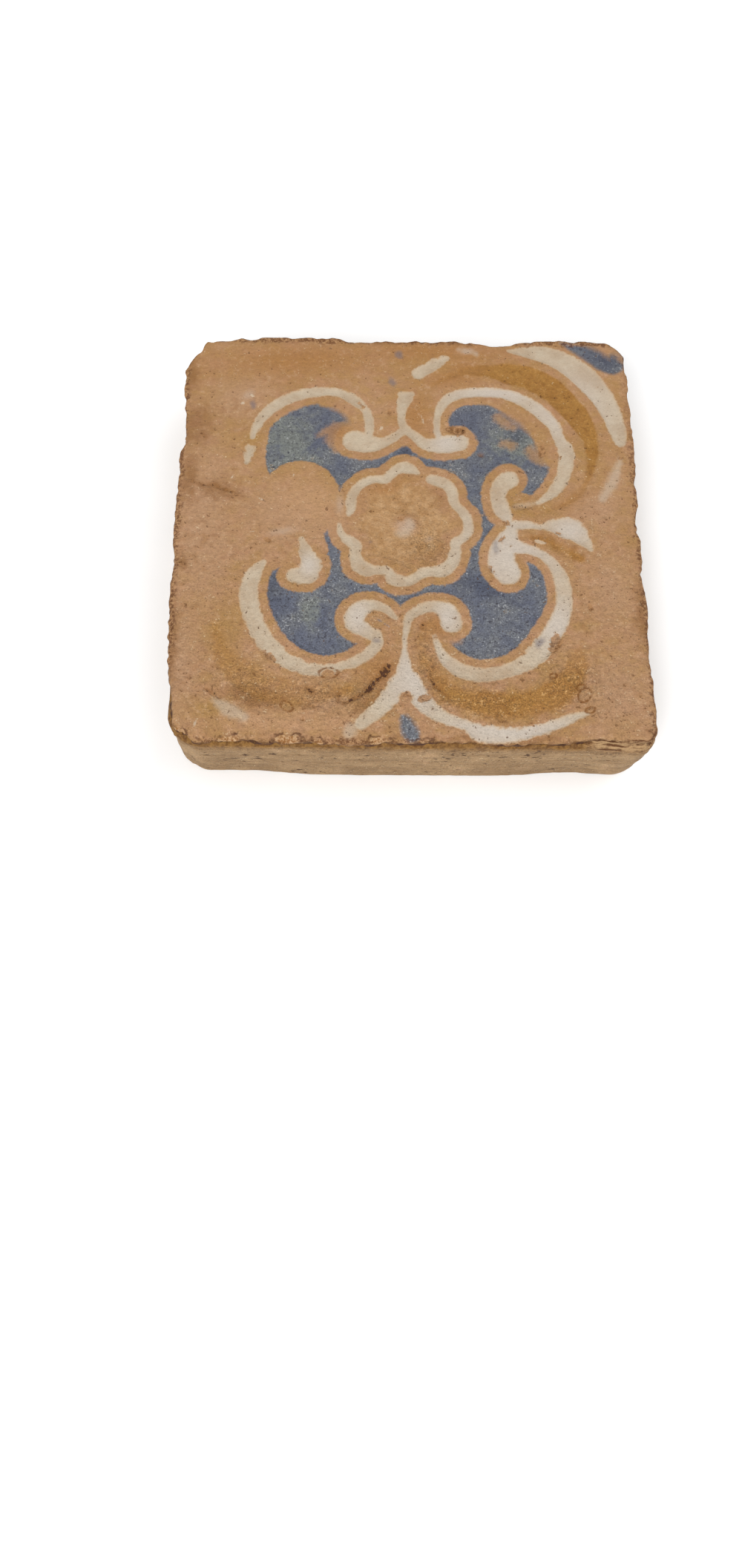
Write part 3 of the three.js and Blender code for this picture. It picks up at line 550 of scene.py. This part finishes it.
def hills(x, y, z, size, seed):
    """Smooth unevenness, mostly between -1 and 1, about one size from hill to hollow."""
    lattice = np.random.default_rng(seed).uniform(-1, 1, (LATTICE, LATTICE, LATTICE))
    place = [np.asarray(v) / size + LATTICE_START for v in (x, y, z)]
    cell = [np.floor(v).astype(int) for v in place]
    share = [v - c for v, c in zip(place, cell)]
    share = [s * s * (3 - 2 * s) for s in share]
    total = 0.0
    for corner in np.ndindex(2, 2, 2):
        weight = math.prod(s if side else 1 - s for s, side in zip(share, corner))
        total = total + weight * lattice[tuple((c + side) % LATTICE for c, side in zip(cell, corner))]
    return total * HILL_HEIGHT


def stains(spots, x, y):
    """Soft cover by the broad stains: 1 in the middle of one, fading to 0."""
    cover = np.zeros(x.shape)
    for spot in spots:
        along, across = in_oval(spot, x, y)
        cover = np.maximum(cover, np.exp(-(along**2 + across**2)))
    return cover


def near(x, y, middle, spread):
    """1 at the middle, fading to 0 all round it."""
    return np.exp(-((x - middle[0]) ** 2 + (y - middle[1]) ** 2) / (2 * spread**2))


def ease(value, low, high):
    """A smooth step from 0 to 1."""
    t = np.clip((value - low) / (high - low), 0, 1)
    return t * t * (3 - 2 * t)


# The tile's form

def lip_wander(edge, along):
    """How far the lip stands out from the straight edge."""
    places, outs = np.array(LIP_KNUCKLES[edge], float).T
    after = np.clip(np.searchsorted(places, along), 1, len(places) - 1)
    share = ease(along, places[after - 1], places[after])
    return outs[after - 1] + (outs[after] - outs[after - 1]) * share


def placed(x, y, drop, outset, share):
    """Moves the points of the square blank to the tile's worn outline."""
    inwards = np.minimum(HALF - np.abs(x), HALF - np.abs(y))
    wander_x = np.where(x > 0, lip_wander("right", y), lip_wander("left", -y))
    wander_y = np.where(y > 0, lip_wander("back", -x), lip_wander("front", x))
    side_x = np.where(x > 0, 1, -1)
    side_y = np.where(y > 0, 1, -1)
    reach_x = HALF + outset + share * wander_x
    reach_y = HALF + outset + share * wander_y
    belly = FRONT_BELLY * np.clip(1 - (x / BELLY_REACH) ** 2, 0, 1)
    belly -= FRONT_ENDS_PULL * ease(np.abs(x), ENDS_FROM, BELLY_REACH)
    reach_y += np.where(y < 0, np.interp(drop, *BELLY_BY_DEPTH) * belly, 0)
    bulge = RIGHT_FRONT_BULGE * near(x, y, (HALF, -HALF), BULGE_SPREAD) * np.interp(drop, *BULGE_BY_DEPTH)
    reach_x += bulge
    reach_y += bulge
    reach_x -= LEFT_FRONT_PULL * near(x, y, (-HALF, -HALF), PULL_SPREAD) * np.interp(drop, *PULL_BY_DEPTH)
    give_x = 1 - ease(HALF - np.abs(x), 0, EDGE_REACH)
    give_y = 1 - ease(HALF - np.abs(y), 0, EDGE_REACH)
    x = np.abs(x) + give_x * (reach_x - HALF)
    y = np.abs(y) + give_y * (reach_y - HALF)
    radius = np.zeros(x.shape)
    for (corner_x, corner_y), radii in CORNER_RADII.items():
        here = (side_x == corner_x) & (side_y == corner_y)
        radius = np.where(here, np.interp(drop, CORNER_DEPTHS, radii), radius)
    past_x = x - reach_x + radius
    past_y = y - reach_y + radius
    cornered = (past_x > 0) & (past_y > 0)
    from_arc = np.maximum(np.hypot(past_x, past_y), 1e-6)
    shrink = np.where(cornered, np.maximum(past_x, past_y) / from_arc, 1)
    x = np.where(cornered, reach_x - radius + past_x * shrink, x) * side_x
    y = np.where(cornered, reach_y - radius + past_y * shrink, y) * side_y
    break_share = np.interp(drop, *BREAK_BY_DEPTH)
    for sign, along_side, along_back in CORNER_BREAKS:
        past = (x * sign + inwards - HALF) / along_back + (y + inwards - HALF) / along_side + 1
        pull = np.maximum(past, 0) / (1 / along_side + 1 / along_back) * break_share
        pull = pull * np.clip(1 - inwards / BREAK_REACH, 0, 1)
        x = x - sign * pull
        y = y - pull
    for bite_x, bite_y, pull_x, pull_y, size in BITES:
        bite = near(x, y, (bite_x, bite_y), size) * np.interp(drop, *BITE_BY_DEPTH)
        x = x + pull_x * bite
        y = y + pull_y * bite
    return x, y


def face_relief(x, y):
    """How far the worn face lies under its highest level."""
    flat = np.zeros(x.shape)
    sunk = np.zeros(x.shape)
    for seed, (size, height) in enumerate(FACE_HILLS, start=1):
        sunk += height * (1 + hills(x, y, flat, size, seed))
    return np.maximum(sunk, 0)


def tile_blank():
    """A closed square slab: a dense face, sides drawn down row by row, and a coarse back."""
    bpy.ops.object.select_all(action="DESELECT")
    bpy.ops.mesh.primitive_grid_add(x_subdivisions=FACE_GRID, y_subdivisions=FACE_GRID,
                                    size=TILE_SIDE * MM, location=(0, 0, TILE_THICKNESS * MM))
    tile = bpy.context.object
    bpy.ops.object.transform_apply(location=True, rotation=True, scale=True)
    bpy.ops.object.mode_set(mode="EDIT")
    bpy.ops.mesh.select_mode(type="EDGE")
    bpy.ops.mesh.select_all(action="SELECT")
    bpy.ops.mesh.region_to_loop()
    for above, below in zip([0.0] + SIDE_ROWS, SIDE_ROWS):
        bpy.ops.mesh.extrude_edges_move(TRANSFORM_OT_translate={"value": (0, 0, (above - below) * MM)})
    bpy.ops.mesh.select_all(action="DESELECT")
    bpy.ops.mesh.primitive_grid_add(x_subdivisions=BACK_GRID, y_subdivisions=BACK_GRID,
                                    size=BACK_GRID_SIDE * MM, location=(0, 0, 0))
    bpy.ops.mesh.select_all(action="DESELECT")
    bpy.ops.mesh.select_non_manifold()
    bpy.ops.mesh.bridge_edge_loops()
    bpy.ops.mesh.select_all(action="SELECT")
    bpy.ops.mesh.normals_make_consistent(inside=False)
    bpy.ops.object.mode_set(mode="OBJECT")
    bpy.ops.object.shade_smooth()
    return tile


def worn_tile():
    """The blank moved to the tile's worn form, with its distances and stains as attributes."""
    tile = tile_blank()
    tile.name = "worn_tile"
    mesh = tile.data
    co = np.zeros(len(mesh.vertices) * 3, np.float32)
    mesh.vertices.foreach_get("co", co)
    x0, y0, z0 = co.reshape(-1, 3).astype(float).T / MM
    flat = z0 * 0
    drop = TILE_THICKNESS - z0
    on_side = np.maximum(np.abs(x0), np.abs(y0)) > HALF - TOUCH
    on_back = ~on_side & (drop >= TOUCH)

    # The outline and the sides
    depths, outsets, shares, crumbliness = np.array(SIDE_PROFILE).T
    outset = np.interp(drop, depths, outsets)
    share = np.interp(drop, depths, shares)
    rough = np.interp(drop, depths, crumbliness) * (1 - CALM * near(x0, y0, (HALF, -HALF), CALM_SPREAD))
    under_lip = np.interp(drop, LIP_ENDS, (0, 1))
    outset += rough * LIP_CRUMBS * hills(x0, y0, z0 * 1.6, 3.6, 11)
    outset += rough * LIP_GRAINS * hills(x0, y0, z0 * 1.4, 1.6, 12)
    outset += under_lip * SIDE_WAVES * hills(x0, y0, z0, 13, 13)
    outset += under_lip * SIDE_LAYERS * hills(x0 * 0.12, y0 * 0.12, z0, 1.7, 14)
    x, y = placed(x0, y0, drop, outset, share)

    # The cells, the damage and the wear of the face
    white = white_at(x, y)
    blue = blue_at(x, y)
    amber = amber_at(x, y)
    rosette = rosette_at(x, y)
    chip = inside_strokes(BROKEN, x, y)
    loop = on_loops(LOOPS, x, y)
    scar = inside_strokes(SCARS, x, y)
    outline = np.minimum(HALF - np.abs(x), HALF - np.abs(y))
    ragged = 0.35 * hills(x, y, flat, 1.7, 21)
    cell = np.maximum(np.maximum(white, blue), np.maximum(amber, rosette) * 0.5)
    sunk = face_relief(x, y)
    sunk += CELL_DEPTH * ease(cell + 0.4 * ragged, -0.1, 0.8) * (0.75 + 0.25 * hills(x, y, flat, 12, 22))
    sunk += BROKEN_DEPTH * ease(chip + ragged, -0.2, 0.6) * (0.7 + 0.6 * hills(x, y, flat, 1.4, 23))
    sunk += SCAR_DEPTH * ease(scar + ragged, -0.3, 0.5)
    sunk += LOOP_DEPTH * ease(loop, -0.2, 0.2)
    sunk += EDGE_WEAR * (1 - ease(outline + 0.8 * ragged, 0.3, 2.4))
    z = z0 - np.maximum(sunk, 0) * np.clip(1 - drop / RELIEF_FADES, 0, 1)

    # The waver of the groove under the lip, and the back
    waver = hills(x0, y0, flat, 9, 31) * 0.7 + hills(x0, y0, flat, 3.5, 32) * 0.35
    z += on_side * waver * np.interp(drop, (0.6, 2.8, 3.9, 6.0), (0, 1, 1, 0))
    z += on_back * BACK_HOLLOWS * (1 + hills(x, y, z0, 17, 41))
    shaped = np.clip(np.stack([x, y, z], axis=1) * MM, *np.array(cad_box))
    mesh.vertices.foreach_set("co", shaped.astype(np.float32).ravel())
    mesh.update()

    # What the material reads; the glaze and the marks end a little way down the side
    below = np.maximum(drop - GLAZE_ENDS, 0) * 2
    distances = {
        "white": white, "blue": blue, "amber": amber, "rosette": rosette,
        "chip": chip, "loop": loop, "scar": scar,
        "fleck_and_painted_glint": inside_spots(FLECKS_AND_PAINTED_GLINT, x, y),
        "haze": inside_spots(HAZES, x, y),
        "smudge": inside_spots(SMUDGES, x, y),
        "bald": inside_strokes(BALD, x, y),
        "faint": inside_strokes(FAINT_WHITE, x, y),
    }
    marks = {name: distance - below for name, distance in distances.items()}
    for name, spots in STAINS.items():
        marks[name] = stains(spots, x, y)
    marks["roughened"] *= np.clip(1 - drop, 0, 1)
    marks["crumb"] = inside_spots(CRUMBS, x, y) - 0.5 * below
    marks["shelled"] = ease(x, *SHELLED_X) * ease(-y, *SHELLED_Y)
    marks["outline"] = outline
    marks["drop"] = drop
    for name, values in marks.items():
        attribute = mesh.attributes.new(name, "FLOAT", "POINT")
        attribute.data.foreach_set("value", values.astype(np.float32))
    return tile


# Finishes

class Wire:
    """A socket's output that arithmetic is written with: each operator adds its Math node."""

    def __init__(self, board, socket):
        self.board = board
        self.socket = socket

    def math(self, operation, first, second):
        return self.board.node("ShaderNodeMath", {"operation": operation}, {0: first, 1: second})

    def __add__(self, other):
        return self.math("ADD", self, other)

    __radd__ = __add__

    def __sub__(self, other):
        return self.math("SUBTRACT", self, other)

    def __rsub__(self, other):
        return self.math("SUBTRACT", other, self)

    def __mul__(self, other):
        return self.math("MULTIPLY", self, other)

    __rmul__ = __mul__

    def __or__(self, other):
        return self.math("MAXIMUM", self, other)


class Board:
    """The nodes of one material."""

    def __init__(self, name):
        self.material = bpy.data.materials.new(name)
        self.material.use_nodes = True
        self.tree = self.material.node_tree
        self.tree.nodes.clear()
        coordinates = self.node("ShaderNodeTexCoord", {}, {}, out=3)
        self.place = self.scaled(coordinates, (1 / MM, 1 / MM, 1 / MM))

    def node(self, kind, settings, values, out=0):
        """One node with its settings, the values or links of its inputs, and the output to use."""
        made = self.tree.nodes.new(kind)
        for key, value in settings.items():
            setattr(made, key, value)
        for key, value in values.items():
            if isinstance(value, Wire):
                self.tree.links.new(value.socket, made.inputs[key])
            else:
                made.inputs[key].default_value = value
        return Wire(self, made.outputs[out])

    def scaled(self, vector, factors):
        return self.node("ShaderNodeVectorMath", {"operation": "MULTIPLY"}, {0: vector, 1: factors})

    def mark(self, name):
        """One of the piece's own attributes."""
        return self.node("ShaderNodeAttribute", {"attribute_name": name}, {}, out=2)

    def step(self, value, low, high):
        """A smooth step from 0 to 1."""
        return self.node("ShaderNodeMapRange", {"interpolation_type": "SMOOTHSTEP"},
                         {"Value": value, "From Min": low, "From Max": high})

    def band(self, value, low, up, down, high):
        """1 between up and down, fading to 0 at low and at high."""
        return self.step(value, low, up) * (1 - self.step(value, down, high))

    def mix(self, factor, first, second):
        """The second colour over the first; a name stands for its paint."""
        first, second = (paint(c) if isinstance(c, str) else c for c in (first, second))
        return self.node("ShaderNodeMix", {"data_type": "RGBA"}, {0: factor, 6: first, 7: second}, out=2)

    def shade(self, colour, factor):
        """The colour made lighter or darker by a factor."""
        grey = self.node("ShaderNodeCombineColor", {}, {0: factor, 1: factor, 2: factor})
        return self.node("ShaderNodeMix", {"data_type": "RGBA", "blend_type": "MULTIPLY"},
                         {0: 1.0, 6: colour, 7: grey}, out=2)

    def noise(self, size, detail=2.0, stretch=None, roughness=0.55):
        """Cloudy variation, mostly between -1 and 1, with the size of its clouds in millimetres."""
        place = self.scaled(self.place, stretch) if stretch else self.place
        values = {"Vector": place, "Scale": 1 / size, "Detail": detail, "Roughness": roughness}
        cloud = self.node("ShaderNodeTexNoise", {}, values)
        return (cloud - 0.5) * 6.0

    def dots(self, spacing, radius, kept):
        """Scattered dots: 1 inside a dot. Kept is the share of places that have one."""
        values = {"Vector": self.place, "Scale": 1 / spacing}
        away = self.node("ShaderNodeTexVoronoi", {}, values)
        pick = self.node("ShaderNodeTexVoronoi", {}, values, out=1)
        chance = self.node("ShaderNodeSeparateColor", {}, {0: pick})
        size = radius / spacing
        dot = 1 - self.step(away, size * 0.6, size * 1.3)
        return dot * self.step(chance, 1 - kept, 1.02 - kept)

    def finish(self, colour, roughness, height, strength, specular):
        """The surface that these make, with the height as fine relief."""
        bump = self.node("ShaderNodeBump", {}, {"Height": height, "Distance": MM, "Strength": strength})
        shader = self.node("ShaderNodeBsdfPrincipled", {}, {
            "Base Color": colour, "Roughness": roughness, "Normal": bump, "Specular IOR Level": specular})
        output = self.tree.nodes.new("ShaderNodeOutputMaterial")
        self.tree.links.new(shader.socket, output.inputs["Surface"])
        return self.material


def paint(name):
    """The paint that this studio's light shows as the named colour, from screen values to linear ones."""
    linear = []
    for part in COLOURS[name]:
        value = part / 255
        shown = value / 12.92 if value <= 0.04045 else ((value + 0.055) / 1.055) ** 2.4
        linear.append(max((shown - SHEEN) / STUDIO_LIGHT, DARKEST))
    return (*linear, 1.0)


def worn_glazed_clay():
    """Clay, glazes, stains, wear and dirt in one finish, with painted glints and painted shade under the
    lip; its noises get finer from broad to grain.
    """
    b = Board("worn_glazed_clay")
    drop = b.mark("drop")
    outline = b.mark("outline")
    broad = b.noise(26, 2)
    patchy = b.noise(7.5, 3)
    mottle = b.noise(2.4, 3)
    fine = b.noise(1.1, 3)
    grain = b.noise(0.5, 2)
    streak = b.noise(0.9, 2, (0.25, 1.3, 1))
    forwards = b.node("ShaderNodeSeparateXYZ", {}, {0: b.place}, out=1)
    coarse = 1.35 - b.step(forwards + patchy * 8, -60, 60) * 0.65

    # The clay: tan, stained pinkish, orange, olive and dark
    hue = b.noise(5, 3, (1, 1.3, 1))
    clay = b.mix(b.step(patchy * 0.6 + broad * 0.6, -1, 1), "tan clay", "pink clay")
    clay = b.mix(b.step(hue, -0.2, 1.2) * 0.45, clay, "yellow clay")
    clay = b.mix(b.step(0 - hue, -0.1, 1.2) * 0.4, clay, "rosy clay")
    clay = b.mix(b.mark("orange") * 0.8, clay, "orange clay")
    clay = b.mix(b.mark("pinkish") * 0.8, clay, "pinkish clay")
    clay = b.mix(b.mark("olive") * 0.5, clay, "olive clay")
    clay = b.mix(b.step(mottle * 0.8 + patchy * 0.5, 0, 1.6) * 0.4, clay, "brown mottle")
    clay = b.mix(b.step(fine * 0.7 - mottle * 0.6, 0.2, 1.5) * 0.4, clay, "pale mottle")
    clay = b.mix(b.mark("lightened") * 0.6, clay, "light clay")
    dim = b.mark("darkened") + mottle * 0.16 + patchy * 0.12
    clay = b.mix(b.step(dim, 0.1, 1.1) * 0.6, clay, "dark clay")
    clay = b.shade(clay, 1 + (fine * 0.06 + grain * 0.07 + streak * 0.03) * coarse)

    # The side: greyer and yellower, in flat layers
    layers = b.noise(2.2, 4, (0.09, 0.09, 1), 0.65)
    thin_layers = b.noise(0.7, 2, (0.16, 0.16, 1), 0.6)
    side = b.mix(b.step(layers + patchy * 0.6, -1.7, 1.7), "side brown", "side tan")
    side = b.mix(b.step(thin_layers + mottle * 0.4, 0.6, 1.6) * 0.55, side, "side layer")
    side = b.mix(b.step(patchy + mottle * 0.4, 0.3, 1.6) * 0.3, side, "side patch")
    side = b.shade(side, 1 + fine * 0.10 + grain * 0.09 + patchy * 0.05 + layers * 0.05)
    clay = b.mix(b.step(drop + mottle * 0.3, 3.6, 5.2), clay, side)

    # The glazes
    shelled = b.mark("shelled")
    ragged = mottle * 0.16 + fine * 0.15 + (patchy * 0.2 + mottle * 0.3) * b.mark("frayed")
    white = b.mark("white") + ragged
    white_here = b.step(white, -0.4, 0.32)
    cream = b.mix(b.step(patchy + mottle * 0.6, -1.3, 1.3), "cream white", "old white")
    cream = b.mix(b.mark("clean_white") * 0.85, cream, "clean white")
    cream = b.mix((1 - b.step(white - fine * 0.2, 0, 0.9)) * 0.55, cream, "white edge")
    cream = b.shade(cream, 1 + mottle * 0.02 + (fine * 0.04 + grain * 0.05) * coarse)
    faint_here = b.step(b.mark("faint") + patchy * 0.3 + mottle * 0.35 + fine * 0.2, -1, 1.3)
    blue = b.mark("blue") + ragged * 1.1
    blurred = b.mark("blurred")
    blue_here = b.step(blue + patchy * 0.25 * blurred, -0.45 - blurred * 1.3, 0.4 + blurred * 1.3)
    bald = b.step(b.mark("bald") + mottle * 0.5 + fine * 0.35, -1.5, 1.1)
    blue_here = blue_here * (1 - bald * 0.7)
    cobalt = b.mix(b.step(patchy + mottle * 0.5, -1.4, 1.4), "slate blue", "grey blue")
    cobalt = b.mix(b.step(broad + patchy * 0.4, 0.2, 1.5) * 0.5, cobalt, "cloudy blue")
    greened = b.mark("greened_blue") + mottle * 0.25 + patchy * 0.25
    cobalt = b.mix(b.step(greened, 0.2, 1) * 0.75, cobalt, "green blue")
    cobalt = b.mix(b.mark("deep_blue") * 0.7, cobalt, "deep blue")
    # Painted glints: pale specks on the blue that stand for tiny highlights
    painted_glints = b.step(fine * 0.6 + grain * 0.9 + patchy * 0.5, 0.7, 1.8)
    cobalt = b.mix(painted_glints * (0.4 + coarse * 0.38), cobalt, "blue painted glint")
    dark_pits = b.step(mottle * 0.4 - fine * 0.8 - grain * 0.5, 0.3, 1.4)
    cobalt = b.mix(dark_pits * 0.75, cobalt, "blue pit")
    grainy = (fine * 0.14 + grain * 0.22) * coarse
    cobalt = b.shade(cobalt, 0.9 + coarse * 0.11 + mottle * 0.12 + grainy)
    amber = b.mark("amber") * (1 + b.mark("crisp_amber") * 2.5) + patchy * 0.5 + mottle * 0.35
    amber_here = b.step(amber, -1, 1.8) * (0.95 - b.mark("thin_amber") * 0.55) * (1.14 - coarse * 0.2)
    honey = b.mix(b.step(patchy * 0.7 + mottle * 0.6, -1.3, 1.3), "amber", "brown amber")
    honey = b.mix(b.step(mottle + fine * 0.8, 0.3, 1.6) * 0.6, honey, "amber pit")
    # Painted glints: pale specks on the amber that stand for tiny highlights
    painted_glints = b.step(fine - mottle * 0.4 + grain * 0.4, 0.4, 1.6)
    honey = b.mix(painted_glints * (coarse - 0.55), honey, "amber painted glint")
    honey = b.shade(honey, 0.93 + coarse * 0.09 + (fine * 0.11 + grain * 0.14) * coarse)
    rosette = b.step(b.mark("rosette") + patchy * 0.5 + mottle * 0.4, -1, 2.5)
    petals = b.mix(b.step(mottle + patchy * 0.7, -1.2, 1.4), "petal tan", "petal brown")
    petals = b.shade(petals, 1 + fine * 0.09 + grain * 0.10)

    colour = b.mix(rosette * 0.85, clay, petals)
    colour = b.mix(amber_here, colour, honey)
    colour = b.mix(blue_here * 0.95, colour, cobalt)
    colour = b.mix(faint_here * 0.55, colour, "faint white")
    colour = b.mix(white_here * 0.95, colour, cream)
    glazed = (white_here | blue_here) | amber_here * 0.5

    # Films, smudges and flecks, one fleck a painted glint
    colour = b.mix(b.step(b.mark("haze") + mottle * 0.4, -0.6, 1.6) * 0.5, colour, "haze")
    colour = b.mix(b.step(b.mark("smudge") + mottle * 0.3, -0.5, 1) * 0.6, colour, "smudge")
    # Pale flecks, with one painted glint among them
    colour = b.mix(b.step(b.mark("fleck_and_painted_glint") + fine * 0.15, -0.1, 0.2) * 0.7, colour, "fleck_and_painted_glint")

    # Broken places, crevices and pits
    roughened = b.mark("roughened")
    colour = b.shade(colour, 1 + (fine * 0.10 + grain * 0.16 + mottle * 0.05) * roughened)
    chip = b.step(b.mark("chip") + mottle * 0.5 + fine * 0.4, -0.2, 0.35)
    chip_paint = b.mix(b.step(fine * 0.7 + mottle * 0.7, -1, 1), "chip brown", "chip tan")
    colour = b.mix(chip * 0.85, colour, chip_paint)
    loop = b.step(b.mark("loop") + fine * 0.12, -0.2, 0.15)
    colour = b.mix(loop * 0.8, colour, "loop")
    scar_bed = b.step(b.mark("scar") + mottle * 0.3, -1, 0.6)
    colour = b.mix(scar_bed * 0.5, colour, "scar bed")
    scar = b.step(b.mark("scar") + fine * 0.7 + grain * 0.5, 0.3, 0.9)
    colour = b.mix(scar * 0.85, colour, "scar")
    pits = b.step(fine * 0.9 + mottle * 0.5 + grain * 0.3 + coarse * 0.3, 1.35, 1.8)
    colour = b.mix(pits * (0.6 + glazed * 0.1), colour, "pit")
    pepper = b.dots(1.7, 0.16, 0.4) * b.step(coarse, 0.9, 1.2) * white_here
    colour = b.mix(pepper * 0.6, colour, "pepper")
    specks = b.step(grain * 0.9 - fine * 0.6 - mottle * 0.5 + coarse * 0.3, 1.5, 2)
    specks = specks * (1 - (white_here | blue_here))
    colour = b.mix(specks * 0.6, colour, "speck")

    # Dirt along the lip, painted shade that darkens the groove under it, a darker painted line in that
    # groove, and the brown that fades below
    rim = 1 - b.step(outline + mottle * 0.6 + patchy * 0.4 + fine * 0.4, 0, 1.6)
    rim = rim * (1 - b.step(drop, 1.5, 4)) * (1 - b.mark("smooth_lip") * 0.75)
    rim_paint = b.mix(b.step(fine * 0.8 + grain * 0.6 + mottle * 0.3, -0.6, 0.9), "rim dirt", "rim crumb")
    colour = b.mix(rim * 0.75, colour, rim_paint)
    depth = drop + patchy * 0.35 + mottle * 0.3 + fine * 0.15
    lip = b.band(depth, 0.4, 1.3, 4, 9)
    lip_paint = b.mix(b.step(mottle + fine * 0.8, -1.2, 1.2), "lip dirt", "lip crumb")
    colour = b.mix(lip * 0.65, colour, lip_paint)
    # Painted shade: the groove under the lip darkened brown where its undercut is shaded, fading below
    groove = b.band(depth, 1.2, 2.4, 4, 9) * (1 - shelled * 0.8)
    groove = groove * (0.7 + b.step(patchy + mottle * 0.8, -1, 0.8) * 0.3)
    groove_shade_paint = b.mix(b.step(mottle + fine * 0.9, -1.4, 1.4), "groove shade brown", "groove shade tan")
    colour = b.mix(groove * 0.8, colour, groove_shade_paint)
    # Painted shade: a darker line deep in the groove under the lip
    crevice_shade = drop + mottle * 0.5 + patchy * 0.2 + fine * 0.35
    crevice_shade = b.band(crevice_shade, 1.5, 2.1, 3, 4) * (1 - shelled * 0.7)
    crevice_shade = crevice_shade * b.step(mottle * 0.9 + patchy * 0.6, -1.2, 0.4)
    colour = b.mix(crevice_shade * 0.8, colour, "crevice_shade")
    crumb = b.mark("crumb") + mottle * 0.35 + fine * 0.25
    round_crumb = b.band(crumb, -0.9, -0.4, -0.2, 0.2) * b.step(mottle + patchy * 0.5, -0.6, 0.6)
    colour = b.mix(round_crumb * 0.7, colour, "crumb edge")
    crumb = b.step(crumb, -0.2, 0.5)
    crumb_paint = b.mix(b.step(fine * 0.8 + grain * 0.5, -0.7, 0.8), "crumb brown", "crumb tan")
    colour = b.mix(crumb * 0.85, colour, crumb_paint)
    sheets = b.step(b.noise(0.8, 2, (0.12, 0.5, 1.6)) + fine * 0.3, -0.7, 0.8)
    shell_paint = b.mix(sheets, "sheet brown", "sheet tan")
    colour = b.mix(shelled * b.band(depth, 0.3, 0.8, 4.5, 6) * 0.85, colour, shell_paint)
    holes = b.noise(0.9, 3, (0.4, 0.5, 1)) + b.noise(9, 1) * 0.45
    holes = b.step(holes, 0.95, 1.3) * b.step(drop, 4.5, 6.5)
    colour = b.mix(holes * 0.85, colour, "hole")
    grit = b.step(grain * 0.9 - fine * 0.7 + patchy * 0.4, 1, 1.6) * b.step(drop, 4, 6)
    colour = b.mix(grit * 0.55, colour, "grit")

    roughness = 0.85 - glazed * 0.3 + fine * 0.04
    height = (grain * 0.04 + fine * 0.08 + mottle * 0.1 + streak * 0.01) * coarse * (1 - glazed * 0.4)
    height = height + (fine * 0.1 + grain * 0.06) * roughened
    height = height - pits * 0.3 - scar * 0.3 - holes * 0.3 - chip * 0.15 + chip * fine * 0.15
    height = height + layers * b.step(drop, 3.2, 4.4) * 0.2
    return b.finish(colour, roughness, height, 0.9, 0.3)


def pale_floor():
    """A plain pale floor."""
    b = Board("pale_floor")
    soft = b.noise(60, 2)
    colour = b.mix(b.step(soft, -1, 1), (0.93, 0.93, 0.93, 1), (0.95, 0.95, 0.95, 1))
    return b.finish(colour, 0.9, soft, 0, 0.2)


# Stage

def camera():
    """The camera that was fitted to the tile's square face."""
    data = bpy.data.cameras.new("camera")
    data.sensor_fit = "VERTICAL"
    data.sensor_height = FILM
    data.lens = LENS
    data.clip_start = 0.01
    looking = Matrix.Rotation(CAMERA_TURN, 3, "Z") @ Matrix.Rotation(math.pi / 2 - CAMERA_DOWN, 3, "X")
    looking = looking @ Matrix.Rotation(CAMERA_ROLL, 3, "Z")
    eye = bpy.data.objects.new("camera", data)
    bpy.context.scene.collection.objects.link(eye)
    eye.matrix_world = Matrix.Translation(Vector(CAMERA_PLACE) * MM) @ looking.to_4x4()
    bpy.context.scene.camera = eye


def softbox(name, place, size, power):
    """A round soft light that looks at the tile."""
    data = bpy.data.lights.new(name, "AREA")
    data.shape = "DISK"
    data.size = size
    data.energy = power
    lamp = bpy.data.objects.new(name, data)
    bpy.context.scene.collection.objects.link(lamp)
    lamp.location = place
    lamp.rotation_euler = (-Vector(place)).to_track_quat("-Z", "Y").to_euler()


def studio():
    """The floor, the lights and the sky."""
    bpy.ops.object.select_all(action="DESELECT")
    bpy.ops.mesh.primitive_plane_add(size=FLOOR_SIZE, location=(0, 0, 0))
    floor = bpy.context.object
    floor.name = "floor"
    floor.data.materials.append(pale_floor())
    softbox("key_light", *KEY_LIGHT)
    softbox("fill_light", *FILL_LIGHT)
    world = bpy.data.worlds.new("studio")
    world.use_nodes = True
    background = world.node_tree.nodes["Background"]
    background.inputs["Color"].default_value = (1, 1, 1, 1)
    background.inputs["Strength"].default_value = SKY_LIGHT
    bpy.context.scene.world = world
    bpy.context.scene.view_settings.view_transform = "Standard"


camera()
studio()
tile = worn_tile()
tile.data.materials.append(worn_glazed_clay())
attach(tile, "root")
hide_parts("tile")
